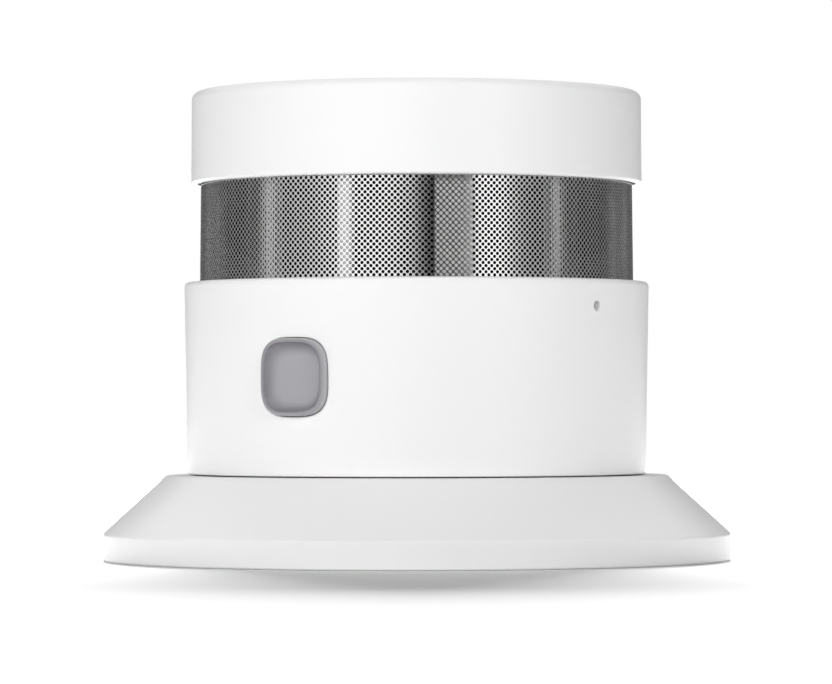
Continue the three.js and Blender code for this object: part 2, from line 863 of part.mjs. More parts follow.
function buttonBoard() {
  const near = buttonBoardDistance - buttonBoardThickness;
  return block(
    buttonBoardWidth,
    buttonBoardThickness,
    buttonHeight - buttonSize / 2,
    boardBottom - fitGap,
    0,
    -(near + buttonBoardDistance) / 2,
  );
}

// The test switch: a square can with a bore for its plunger.
function testSwitchBody() {
  const can = block(
    switchWidth,
    switchDepth,
    buttonHeight - switchWidth / 2,
    buttonHeight + switchWidth / 2,
    0,
    -(switchFace - switchDepth / 2),
  );
  const boreEnd = switchFace - switchDepth / 2;
  const bore = frontColumn(switchPlunger + 2 * slideGap, boreEnd, switchFace + cutThrough, buttonHeight);
  return cut(can, bore);
}

function testSwitchPlunger() {
  return frontColumn(
    switchPlunger,
    switchFace - switchDepth / 2 + buttonTravel + slideGap,
    plungerTip,
    buttonHeight,
  );
}

function statusLed() {
  const top = buttonHeight - switchWidth / 2 - fitGap;
  return block(
    ledWidth,
    ledDepth,
    top - ledHeight,
    top,
    0,
    -(buttonBoardDistance + bondLine + ledDepth / 2),
  );
}

// The test button: a square pad that follows the housing's curve, dished for a finger, with a
// flange behind the wall that keeps it in and a post that reaches the switch.
function testButton() {
  const surface = housingRadius(buttonHeight);
  const faceRadius = surface + buttonProud;
  const pad = common(
    frontSquare(buttonSize, buttonCorner, flangeBack, faceRadius + cutThrough, buttonHeight),
    column(2 * faceRadius, buttonHeight - buttonSize, buttonHeight + buttonSize, 0, 0, buttonSegments),
  );
  const flange = frontSquare(
    buttonSize + 2 * buttonFlangeLip,
    buttonCorner + buttonFlangeLip,
    flangeBack,
    flangeFront,
    buttonHeight,
  );
  const dishHalf = buttonSize / 2 - 2 * buttonRound;
  const dishRadius = (dishHalf ** 2 + buttonDish ** 2) / (2 * buttonDish);
  const dish = new THREE.SphereGeometry(dishRadius, dishSegments, dishSegments)
    .translate(0, -(faceRadius - buttonDish + dishRadius), buttonHeight);
  const post = frontColumn(buttonPost, plungerTip + fitGap, flangeFront, buttonHeight);
  return cut(join(pad, flange, post), dish);
}

// The reset switch: a side-actuated can on the board, behind the pinhole.
function resetSwitchBody() {
  const near = resetSwitchDistance - resetSwitchDepth;
  const bottom = boardTop + bondLine;
  const can = block(
    resetSwitchWidth,
    resetSwitchDepth,
    bottom,
    bottom + resetSwitchHeight,
    0,
    -(near + resetSwitchDistance) / 2,
  );
  const bore = frontColumn(
    resetPlunger + 2 * slideGap,
    resetSwitchDistance - resetSwitchDepth / 2,
    resetSwitchDistance + cutThrough,
    pinholeHeight,
  );
  return cut(can, bore);
}

function resetSwitchPlunger() {
  return frontColumn(
    resetPlunger,
    resetSwitchDistance - resetSwitchDepth / 2 + resetTravel + slideGap,
    resetSwitchDistance + resetPlungerProud,
    pinholeHeight,
  );
}

function radioShield() {
  const top = boardBottom - bondLine - radioBoardThickness - bondLine;
  return block(radioShieldWidth, radioShieldDepth, top - radioShieldHeight, top, 0, radioDistance);
}

function storageCapacitor() {
  const top = boardBottom - bondLine;
  const bottom = top - capacitorHeight;
  const radius = capacitorDiameter / 2;
  const outline = [
    [0, bottom],
    ...arc(radius - capacitorRound, bottom + capacitorRound, capacitorRound, -90, 0),
    [radius, top],
    [0, top],
  ];
  return revolve(outline, smallSegments).translate(...onCircle(capacitorCircle, capacitorBearing), 0);
}

function boostInductor() {
  const top = boardBottom - bondLine;
  const [x, y] = onCircle(inductorCircle, inductorBearing);
  return block(inductorSize, inductorSize, top - inductorHeight, top, x, y);
}

// Smoke chamber
function chamberBase() {
  const floorTop = chamberBottom + chamberFloor;
  const floor = ring(0, chamberRadius, chamberBottom, floorTop, shellSegments);
  const vanes = Array.from({ length: vaneCount }, (_, i) => vane((i * 360) / vaneCount));
  const holders = [emitterBearing, photodiodeBearing].map((bearing) => lampHolder(bearing));
  const slotWidth = lampLeadPitch + lampLead + 2 * fitGap;
  const slotDepth = lampLead + 2 * fitGap;
  const leadSlots = [emitterBearing, photodiodeBearing].map((bearing) => {
    const slot = block(
      slotWidth,
      slotDepth,
      chamberBottom - cutThrough,
      floorTop + cutThrough,
      0,
      -leadDistance,
    );
    return turned(slot, bearing);
  });
  return cut(join(floor, ...vanes, ...holders), ...leadSlots);
}

// One bent vane of the labyrinth, which lets air in and keeps light out.
function vane(bearing) {
  const half = vaneThickness / 2;
  const line = [
    [vaneRingDiameter, 0],
    [vaneBendDiameter, vaneSweep],
    [vaneInnerDiameter, vaneSweep / 4],
  ];
  const [outer, bend, inner] = line.map(([diameter, turn]) => onCircle(diameter, bearing + turn));
  const [across, through, behind] = [0, vaneSweep, vaneSweep / 4].map((turn) => [
    half * Math.cos(rad(bearing + turn)),
    half * Math.sin(rad(bearing + turn)),
  ]);
  const shape = new THREE.Shape([
    new THREE.Vector2(outer[0] + across[0], outer[1] + across[1]),
    new THREE.Vector2(bend[0] + through[0], bend[1] + through[1]),
    new THREE.Vector2(inner[0] + behind[0], inner[1] + behind[1]),
    new THREE.Vector2(inner[0] - behind[0], inner[1] - behind[1]),
    new THREE.Vector2(bend[0] - through[0], bend[1] - through[1]),
    new THREE.Vector2(outer[0] - across[0], outer[1] - across[1]),
  ]);
  return extrude(shape, chamberBottom + chamberFloor / 2, vaneTop);
}

// The block that holds a lamp or a photodiode and shields its sides.
function lampHolder(bearing) {
  const body = block(
    lampHolderWidth,
    lampLength - 2 * fitGap,
    chamberBottom + chamberFloor / 2,
    lampHeight + lampHolderWidth / 2,
    0,
    -(lampNose + lampBack) / 2,
  );
  const boreDiameter = lampDiameter + 2 * fitGap;
  const bore = frontColumn(boreDiameter, lampNose - cutThrough, lampBack + cutThrough, lampHeight);
  return turned(cut(body, bore), bearing);
}

// A round-nosed lamp pointing at the chamber's middle, with its two leads down to the board.
function lamp() {
  const radius = lampDiameter / 2;
  const flange = radius + fitGap / 2;
  const body = revolve(
    [
      [0, -lampBack],
      [flange, -lampBack],
      [flange, -lampBack + lampFlange],
      [radius, -lampBack + lampFlange],
      ...arc(0, -lampNose - radius, radius, 0, 90, 2 * roundSteps).slice(0, -1),
      [0, -lampNose],
    ],
    smallSegments,
  ).rotateX(-Math.PI / 2);
  const leadTop = lampHeight + lampLead / 2;
  const leads = [-1, 1].map((side) => {
    const x = (side * lampLeadPitch) / 2;
    return join(
      block(lampLead, 2 * lampLead, leadTop - lampLead, leadTop, x, -lampBack - lampLead / 4),
      block(lampLead, lampLead, boardTop + fitGap, leadTop, x, -leadDistance),
    );
  });
  return join(body.translate(0, 0, lampHeight), ...leads);
}

function chamberLidPiece() {
  const plug = vaneInnerDiameter / 2 - fitGap;
  return revolve(
    [
      [0, vaneTop],
      [plug, vaneTop],
      [plug, lidBottom],
      [chamberRadius, lidBottom],
      [chamberRadius, lidTop],
      [0, lidTop],
    ],
    shellSegments,
  );
}

// Sounder
const wirePairWidth = wireSpacing + wireDiameter + 2 * fitGap;
const cupInner = sounderDiameter / 2 - sounderWall;
const cupLedge = sounderBottom + sounderFloor + sounderLedgeHeight;
const cupTop = sounderBottom + sounderHeight;
const piezoBottom = cupLedge + bondLine;
const piezoTop = piezoBottom + piezoThickness;
const ceramicBottom = piezoTop + bondLine;
const ceramicTop = ceramicBottom + ceramicThickness;
const backBottom = cupTop + fitGap;
const wireExit = piezoTop + wireLift;

// The notch that lets the two wires in from the duct.
function wireNotch(bottom, top) {
  const near = cupInner - 2 * sounderLedgeWidth;
  const far = sounderDiameter / 2 + cutThrough;
  return turned(block(wirePairWidth, far - near, bottom, top, 0, -(near + far) / 2), ductBearing);
}

function sounderCup() {
  const brim = postInner - fitGap;
  const cup = revolve(
    [
      [sounderPort / 2, sounderBottom],
      [brim, sounderBottom],
      [brim, sounderBottom + sounderFloor],
      [sounderDiameter / 2, sounderBottom + sounderFloor],
      [sounderDiameter / 2, cupTop],
      [cupInner, cupTop],
      [cupInner, cupLedge],
      [cupInner - sounderLedgeWidth, cupLedge],
      [cupInner - sounderLedgeWidth, sounderBottom + sounderFloor],
      [sounderPort / 2, sounderBottom + sounderFloor],
    ],
    innerSegments,
  );
  const near = brim - wireGapDepth;
  const far = brim + cutThrough;
  const gapTop = cupTop + cutThrough;
  const gap = block(wirePairWidth, far - near, sounderBottom - cutThrough, gapTop, 0, -(near + far) / 2);
  return cut(cup, wireNotch(wireExit - wireDiameter, gapTop), turned(gap, ductBearing));
}

function sounderRing() {
  const body = ring(cupInner - sounderLedgeWidth, cupInner - slideGap, piezoTop + bondLine, cupTop);
  return cut(body, wireNotch(piezoTop + bondLine + sounderRingFoot, cupTop + cutThrough));
}

// One wire of the sounder: up the duct, over the cup and down onto the disc.
function sounderWire(side, reach, landing) {
  const x = (side * wireSpacing) / 2;
  const ductRadius = postInner + wireDiameter / 2 + slideGap / 2;
  const line = [
    [ductRadius, boardTop + fitGap],
    [ductRadius, deckBottom],
    [ductRadius, housingTop],
    [ductRadius, (housingTop + capBottom) / 2],
    [ductRadius, capBottom],
    [ductRadius, sounderBottom],
    [ductRadius - 0.3, wireExit - 1.2],
    [ductRadius - 1.6, wireExit + 0.1],
    [ductRadius - 3.4, wireExit + 0.5],
    [cupInner + 1, wireExit + 0.4],
    [cupInner - 1, wireExit + 0.2],
    [reach + 1.6, wireExit - 0.2],
    [reach + 0.4, landing + 1.1],
    [reach, landing + 0.35],
  ].map(([distance, z]) => new THREE.Vector3(x, -distance, z));
  const section = new THREE.Shape();
  section.absarc(0, 0, wireDiameter / 2, 0, 2 * Math.PI, false);
  return new THREE.ExtrudeGeometry(section, {
    steps: wireSteps,
    curveSegments: wireSides / 2,
    bevelEnabled: false,
    extrudePath: new THREE.CatmullRomCurve3(line),
  });
}

// Assembly
const base = new THREE.Group();
base.add(piece("mounting_base", mountingBase(), whiteShell));

const head = new THREE.Group();
head.add(
  piece("head_housing", headHousing(), whiteShell),
  piece("mesh_screen", meshScreen(), steelScreen),
  piece("top_cap", topCap(), whiteShell),
  piece("main_board", mainBoard(), greenBoard),
  piece("chamber_base", chamberBase(), blackOptic),
  piece("chamber_lid", chamberLidPiece(), blackOptic),
  piece("sounder_cup", sounderCup(), whiteInner),
  piece("sounder_ring", sounderRing(), whiteInner),
  piece("piezo_disc", ring(0, cupInner - slideGap, piezoBottom, piezoTop), brassDisc),
  piece("piezo_ceramic", ring(0, ceramicDiameter / 2, ceramicBottom, ceramicTop), whiteCeramic),
  piece("sounder_back", ring(0, sounderDiameter / 2, backBottom, backBottom + sounderBack), whiteInner),
);
boardScrewBearings.forEach((bearing, i) => {
  const seat = boardBottom - fitGap;
  const screwSolid = screw(boardScrewLength - boardThickness, seat, ...onCircle(boardScrewCircle, bearing));
  head.add(piece(`board_screw_${i + 1}`, screwSolid, steelScrew));
});

// What faces the test button's way: the button with its switch, and the cell bay across it.
const core = new THREE.Group();
core.rotation.z = rad(buttonBearing);
core.add(
  piece("back_plate", backPlatePiece(), whiteInner),
  piece("battery_cell", cell(), cellSleeve),
  piece("battery_contact_positive", positiveContact(), nickelContact),
  piece("battery_contact_negative", negativeContact(), nickelContact),
  piece("button_board", buttonBoard(), greenBoard),
  piece("test_switch_body", testSwitchBody(), blackPart),
  piece("test_switch_plunger", testSwitchPlunger(), blackPart),
  piece("status_led", statusLed(), clearLamp),
  piece("test_button", testButton(), greyLens),
  piece(
    "radio_module",
    block(
      radioBoardWidth,
      radioBoardDepth,
      boardBottom - bondLine - radioBoardThickness,
      boardBottom - bondLine,
      0,
      radioDistance,
    ),
    greenBoard,
  ),
  piece("radio_shield", radioShield(), steelScrew),
  piece("storage_capacitor", storageCapacitor(), blackPart),
  piece("boost_inductor", boostInductor(), blackPart),
  piece(
    "microcontroller",
    block(chipSize, chipSize, boardTop + bondLine, boardTop + bondLine + chipHeight),
    blackPart,
  ),
);
backScrewBearings.forEach((bearing, i) => {
  const seat = backPlateBottom - fitGap;
  const screwSolid = screw(backScrewLength, seat, ...onCircle(backScrewCircle, bearing));
  core.add(piece(`back_screw_${i + 1}`, screwSolid, steelScrew));
});
head.add(core);

// What faces the pinhole's way
const reset = new THREE.Group();
reset.rotation.z = rad(pinholeBearing);
reset.add(
  piece("reset_switch_body", resetSwitchBody(), blackPart),
  piece("reset_switch_plunger", resetSwitchPlunger(), blackPart),
);
head.add(reset);

for (const [name, bearing, material] of [
  ["infrared_emitter", emitterBearing, clearLamp],
  ["photodiode", photodiodeBearing, blackPart],
]) {
  const lampPiece = piece(name, lamp(), material);
  lampPiece.rotation.z = rad(bearing);
  head.add(lampPiece);
}

const duct = new THREE.Group();
duct.rotation.z = rad(ductBearing);
duct.add(
  piece("sounder_wire_red", sounderWire(1, ceramicDiameter / 2 - wireOverlap, ceramicTop), redWire),
  piece("sounder_wire_black", sounderWire(-1, ceramicDiameter / 2 + wireOverlap / 2, piezoTop), blackPart),
);
head.add(duct);

const detector = new THREE.Group();
detector.add(base, head);

export default detector;
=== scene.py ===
"""Looks of a compact round smoke detector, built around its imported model.

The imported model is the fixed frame, and every visible piece is worked out here as a fine surface
in the same place: the flared mounting base, the housing with its button window and reset hole, the
perforated steel inlet band over its cage, the cap and the dished test button. The pieces inside
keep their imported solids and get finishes. Sizes are millimetres, turned into metres where a mesh
is made. Bearings are radians round the Z axis, 0 at the front (-Y) and growing towards +X, except
where a class says degrees.
"""

import json
import logging
import math
from collections.abc import Sequence
from dataclasses import dataclass, field
from enum import Enum

import bmesh
import bpy
import numpy as np
from mathutils.geometry import tessellate_polygon
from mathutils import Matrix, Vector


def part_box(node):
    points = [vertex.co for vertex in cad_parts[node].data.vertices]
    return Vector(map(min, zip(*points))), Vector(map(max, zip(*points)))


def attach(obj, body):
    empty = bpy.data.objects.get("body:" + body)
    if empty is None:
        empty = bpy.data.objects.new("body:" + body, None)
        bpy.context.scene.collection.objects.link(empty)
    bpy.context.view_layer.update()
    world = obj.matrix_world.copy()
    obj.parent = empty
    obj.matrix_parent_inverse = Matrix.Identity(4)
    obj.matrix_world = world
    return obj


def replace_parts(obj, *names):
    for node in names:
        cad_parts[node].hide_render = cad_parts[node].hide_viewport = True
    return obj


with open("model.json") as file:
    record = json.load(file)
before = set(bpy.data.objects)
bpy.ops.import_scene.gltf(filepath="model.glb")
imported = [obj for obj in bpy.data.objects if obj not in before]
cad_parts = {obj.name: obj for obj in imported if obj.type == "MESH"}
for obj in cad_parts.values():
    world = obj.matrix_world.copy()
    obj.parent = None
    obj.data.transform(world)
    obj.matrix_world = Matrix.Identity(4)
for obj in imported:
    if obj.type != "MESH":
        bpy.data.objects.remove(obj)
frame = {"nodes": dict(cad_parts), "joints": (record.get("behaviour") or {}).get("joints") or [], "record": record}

LOG = logging.getLogger("smoke_detector")
MM = 0.001
WELD = 2e-7  # metres between points that become one
FULL_TURN = 2 * math.pi
SMOOTH_ANGLE = math.radians(38)  # faces that meet at a greater angle keep their edge
CUT_SHARE = 0.48  # the most of a side that a rounding cuts off
EASE = 0.08  # how far past a rounding its flat begins
EASE_SHARE = 0.3  # the most of what a side has left that this takes
SECTOR_STEP = math.radians(1)  # the widest step of a part turn
ROUNDING_STEPS = 6  # straight pieces in a rounding
WALL_ROWS = 5  # rings on each face of a wall round an opening
LIP_STEPS = 5  # rings on the rounded edge of an opening
TOUCH = 1e-3  # how far off a face a point still lies on it
SAME_LEVEL = 1e-4  # heights nearer than this are one
SAME_POINT = 1e-6
POLE = 1e-4  # the radius that stands for the axis in a turned outline
HOUSING_HEIGHT = 24.5
HOUSING_DRAFT = 0.45 / HOUSING_HEIGHT  # how much its radius grows with each step up
HOUSING_WALL = 2.0
COARSE_SHARE = 0.17  # the coarse grain's scale beside the fine grain's
FLANGE_LIP = 1.0  # how far the button's flange reaches past its face

Colour = tuple[float, float, float, float]


class Body(Enum):
    """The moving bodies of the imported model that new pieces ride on."""

    BASE = "mount_base"
    HEAD = "detector_head"
    BUTTON = "button"


class Slot(Enum):
    """The record's material slots that new pieces take their finish from."""

    SHELL = "white_shell"
    BUTTON = "grey_button"
    SCREEN = "steel_screen"


def corners_of(node: str) -> tuple[np.ndarray, np.ndarray]:
    """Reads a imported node's box.

    Args:
        node: The node's name.

    Returns:
        Its lowest and highest corners, in millimetres.
    """
    low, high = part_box(node)
    return np.array(low) / MM, np.array(high) / MM


def pressed_from(joint: str) -> float:
    """Finds where a push button sits, from the direction that its joint pushes it.

    Args:
        joint: The name of the button's sliding joint.

    Returns:
        The bearing of the button, in radians.
    """
    axis = next(j["axis"] for j in frame["joints"] if j["name"] == joint)
    return math.atan2(-axis[0], axis[1])


@dataclass(frozen=True)
class Layout:
    """Levels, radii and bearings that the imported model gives, in millimetres and radians."""

    base_radius: float
    base_height: float
    head_radius: float
    housing_bottom: float
    screen_bottom: float
    screen_top: float
    cap_radius: float
    cap_bottom: float
    cap_top: float
    button_height: float
    button_bearing: float
    button_half: float
    pinhole_height: float
    pinhole_bearing: float

    @classmethod
    def from_frame(cls) -> "Layout":
        """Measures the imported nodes.

        Returns:
            The layout.
        """
        base = corners_of("mounting_base")
        head = corners_of("head_housing")
        screen = corners_of("mesh_screen")
        cap = corners_of("top_cap")
        button = corners_of("test_button")
        reset = corners_of("reset_switch_plunger")
        return cls(
            base_radius=base[1][0],
            base_height=base[1][2],
            head_radius=head[1][0],
            housing_bottom=head[0][2],
            screen_bottom=screen[0][2],
            screen_top=screen[1][2],
            cap_radius=cap[1][0],
            cap_bottom=cap[0][2],
            cap_top=cap[1][2],
            button_height=(button[0][2] + button[1][2]) / 2,
            button_bearing=pressed_from("test_press"),
            button_half=(button[1][2] - button[0][2]) / 2 - FLANGE_LIP,
            pinhole_height=(reset[0][2] + reset[1][2]) / 2,
            pinhole_bearing=pressed_from("reset_press"),
        )

    def wall(self, depth: float = 0.0) -> "Wall":
        """Describes the housing's outer face, or a face at a depth behind it."""
        return Wall(self.head_radius - depth, self.housing_bottom + HOUSING_HEIGHT, HOUSING_DRAFT)


@dataclass
class Surface:
    """Vertices in millimetres and the faces over them, gathered from several grids."""

    points: list[np.ndarray] = field(default_factory=list)
    quads: list[np.ndarray] = field(default_factory=list)
    triangles: list[np.ndarray] = field(default_factory=list)
    count: int = 0

    def add_points(self, points: np.ndarray) -> int:
        """Adds points.

        Args:
            points: Their places, with x, y, z last.

        Returns:
            The index of the first of them.
        """
        first = self.count
        self.points.append(points.reshape(-1, 3))
        self.count += points.size // 3
        return first

    def add_grid(
        self,
        grid: np.ndarray,
        close_rows: bool = False,
        close_columns: bool = False,
        keep: np.ndarray | None = None,
    ) -> None:
        """Adds a grid of points and the quads between neighbours.

        Args:
            grid: Points as rows x columns x 3.
            close_rows: Join the last row to the first.
            close_columns: Join the last column to the first.
            keep: Which cells get a face, as rows x columns of true and false.
        """
        rows, columns = grid.shape[:2]
        index = self.add_points(grid) + np.arange(rows * columns).reshape(rows, columns)
        right = np.roll(index, -1, axis=1)
        below = np.roll(index, -1, axis=0)
        faces = np.stack([index, right, np.roll(right, -1, axis=0), below], axis=-1)
        last_row = rows if close_rows else rows - 1
        last_column = columns if close_columns else columns - 1
        faces = faces[:last_row, :last_column]
        if keep is not None:
            faces = faces[keep[: faces.shape[0], : faces.shape[1]]]
        self.quads.append(faces.reshape(-1, 4))

    def add_fan(self, ring: np.ndarray) -> None:
        """Closes a ring of points with triangles to its middle.

        Args:
            ring: The ring's points, one row each.
        """
        first = self.add_points(np.concatenate([ring, ring.mean(axis=0, keepdims=True)]))
        around = first + np.arange(len(ring))
        middle = np.full(len(ring), first + len(ring))
        self.triangles.append(np.stack([around, np.roll(around, -1), middle], axis=1))

    def add_triangles(self, points: np.ndarray, corners: np.ndarray) -> None:
        """Adds points and triangles that count from the first of them."""
        self.triangles.append(corners + self.add_points(points))

    def to_object(
        self, name: str, outward: bool = True, values: tuple[str, np.ndarray] | None = None
    ) -> bpy.types.Object:
        """Makes the mesh object, in metres, with its seams and poles closed.

        Args:
            name: The piece's name.
            outward: Work the faces' directions out again, as a closed shape needs.
            values: The name of a point attribute, and its value at each point.

        Returns:
            The object, at the origin, linked to the scene.
        """
        vertices = np.concatenate(self.points) * MM
        quads = np.concatenate(self.quads) if self.quads else np.zeros((0, 4), int)
        triangles = np.concatenate(self.triangles) if self.triangles else np.zeros((0, 3), int)
        mesh = bpy.data.meshes.new(name)
        mesh.vertices.add(len(vertices))
        mesh.vertices.foreach_set("co", vertices.ravel())
        mesh.loops.add(quads.size + triangles.size)
        mesh.loops.foreach_set("vertex_index", np.concatenate([quads.ravel(), triangles.ravel()]))
        sizes = np.repeat([4, 3], [len(quads), len(triangles)])
        mesh.polygons.add(len(sizes))
        mesh.polygons.foreach_set("loop_start", np.concatenate([[0], np.cumsum(sizes)[:-1]]))
        mesh.update(calc_edges=True)
        if values is not None:
            layer = mesh.attributes.new(values[0], "FLOAT", "POINT")
            layer.data.foreach_set("value", values[1].astype(np.float32))
        shape = bmesh.new()
        shape.from_mesh(mesh)
        bmesh.ops.remove_doubles(shape, verts=shape.verts, dist=WELD)
        if outward:
            bmesh.ops.recalc_face_normals(shape, faces=shape.faces)
        shape.to_mesh(mesh)
        shape.free()
        mesh.polygons.foreach_set("use_smooth", np.ones(len(mesh.polygons), bool))
        mesh.set_sharp_from_angle(angle=SMOOTH_ANGLE)
        piece = bpy.data.objects.new(name, mesh)
        bpy.context.scene.collection.objects.link(piece)
        return piece


def rounded(
    corners: Sequence[tuple[float, float, float]], steps: int = ROUNDING_STEPS
) -> np.ndarray:
    """Rounds the corners of a closed outline.

    A corner with rounding r and turn t is cut back by r tan(t / 2) along both of its sides, and the
    points between the cuts lie on the circle of radius r that touches both sides. One more point on
    each side, just past the cut, keeps the flat beside a rounding flat.

    Args:
        corners: Radius, height and rounding of each corner, in order.
        steps: Straight pieces in each rounding.

    Returns:
        The outline's points, one row each.
    """
    table = np.array(corners, float)
    points, rounding = table[:, :2], table[:, 2]
    arriving = points - np.roll(points, 1, axis=0)
    length = np.linalg.norm(arriving, axis=1)
    way_in = arriving / length[:, None]
    way_out = np.roll(way_in, -1, axis=0)
    turn = np.arctan2(
        way_in[:, 0] * way_out[:, 1] - way_in[:, 1] * way_out[:, 0], (way_in * way_out).sum(axis=1)
    )
    half_tan = np.tan(np.abs(turn) / 2)
    shorter = np.minimum(length, np.roll(length, -1))
    setback = np.minimum(rounding * half_tan, CUT_SHARE * shorter)
    radius = setback / np.maximum(half_tan, 1e-9)
    ease = np.minimum(EASE, EASE_SHARE * (shorter - 2 * setback))[:, None, None]
    start = points - way_in * setback[:, None]
    side = np.stack([-way_in[:, 1], way_in[:, 0]], axis=1) * np.sign(turn)[:, None]
    angle = np.linspace(0, 1, steps + 1) * np.abs(turn)[:, None]
    arc = (
        start[:, None]
        + side[:, None] * (radius[:, None] * (1 - np.cos(angle)))[..., None]
        + way_in[:, None] * (radius[:, None] * np.sin(angle))[..., None]
    )
    before = start[:, None] - way_in[:, None] * ease
    after = arc[:, -1:] + way_out[:, None] * ease
    outline = np.concatenate([before, arc, after], axis=1).reshape(-1, 2)
    apart = np.linalg.norm(outline - np.roll(outline, 1, axis=0), axis=1)
    return outline[apart > SAME_POINT]


def with_rows(outline: np.ndarray, levels: np.ndarray) -> np.ndarray:
    """Adds a point to an outline wherever a side crosses one of the given levels.

    Args:
        outline: Closed outline of radius and height.
        levels: Heights, in millimetres.

    Returns:
        The outline with the added points.
    """
    rows = []
    for start, end in zip(outline, np.roll(outline, -1, axis=0)):
        rows.append(start[None])
        low, high = sorted((start[1], end[1]))
        between = levels[(levels > low + SAME_LEVEL) & (levels < high - SAME_LEVEL)]
        share = np.sort((between - start[1]) / (end[1] - start[1])) if len(between) else between
        rows.append(start + share[:, None] * (end - start))
    return np.concatenate(rows)


def turned(outline: np.ndarray, bearings: np.ndarray) -> np.ndarray:
    """Turns an outline round the Z axis: x = r sin b and y = -r cos b at the bearing b.

    Args:
        outline: Points of radius and height.
        bearings: Bearings, in radians.

    Returns:
        A grid of points, a row for each point of the outline.
    """
    radius, height = outline[:, :1], outline[:, 1:]
    return np.stack(
        [radius * np.sin(bearings), -radius * np.cos(bearings), height + 0 * bearings], axis=-1
    )


def full_circle(columns: int) -> np.ndarray:
    """Evenly spaced bearings round the whole circle."""
    return np.arange(columns) * FULL_TURN / columns


def facing(bearing: float, side: np.ndarray, out: np.ndarray, height: np.ndarray) -> np.ndarray:
    """Places points seen by someone who faces the axis at a bearing b.

    A point s to the side and o out from the axis has x = s cos b + o sin b and
    y = s sin b - o cos b.

    Args:
        bearing: The bearing that is faced, in radians.
        side: Distances to the right, towards growing bearings.
        out: Distances out from the axis.
        height: Heights.

    Returns:
        The points, with x, y, z last.
    """
    side, out, height = np.broadcast_arrays(side, out, height)
    return np.stack(
        [
            side * math.cos(bearing) + out * math.sin(bearing),
            side * math.sin(bearing) - out * math.cos(bearing),
            height,
        ],
        axis=-1,
    )


def add_turned(
    surface: Surface,
    outline: np.ndarray,
    columns: int,
    middle: np.ndarray | tuple[float, float] = (0.0, 0.0),
) -> None:
    """Adds a closed outline turned all the way round an upright axis.

    Args:
        surface: Where the grid goes.
        outline: Closed outline of radius and height.
        columns: How many steps the turn has.
        middle: The x and y of the axis.
    """
    grid = turned(outline, full_circle(columns))
    grid[..., :2] += middle
    surface.add_grid(grid, close_rows=True, close_columns=True)


def add_sector(surface: Surface, outline: np.ndarray, first: float, last: float) -> None:
    """Adds an outline carried round the axis between two bearings, with flat ends.

    Args:
        surface: Where the grid goes.
        outline: Closed outline of radius and height.
        first: The bearing that it starts at, in radians.
        last: The bearing that it ends at.
    """
    steps = max(1, math.ceil((last - first) / SECTOR_STEP))
    grid = turned(outline, np.linspace(first, last, steps + 1))
    surface.add_grid(grid, close_rows=True)
    surface.add_fan(grid[:, 0])
    surface.add_fan(grid[::-1, -1])


def add_plate(surface: Surface, bearing: float, section: np.ndarray, width: float) -> None:
    """Adds a flat plate that stands out from the axis: its section, moved to both sides.

    Args:
        surface: Where the plate goes.
        bearing: The bearing that it points at, in radians.
        section: Closed outline of distances from the axis and heights.
        width: The plate's thickness.
    """
    sides = np.array([-0.5, 0.5]) * width
    plate = facing(bearing, sides[:, None], section[None, :, 0], section[None, :, 1])
    surface.add_grid(plate, close_columns=True)
    surface.add_fan(plate[0])
    surface.add_fan(plate[1, ::-1])


def superellipse(
    angle: np.ndarray, half: np.ndarray, power: float
) -> tuple[np.ndarray, np.ndarray]:
    """Gives a rounded square: |x|^n + |y|^n = half^n, met at each polar angle.

    Args:
        angle: Polar angles, in radians.
        half: Half of the square's width.
        power: n, where 2 is a circle and more is squarer.

    Returns:
        The points' x and y.
    """
    reach = half / (np.abs(np.cos(angle)) ** power + np.abs(np.sin(angle)) ** power) ** (1 / power)
    return reach * np.cos(angle), reach * np.sin(angle)


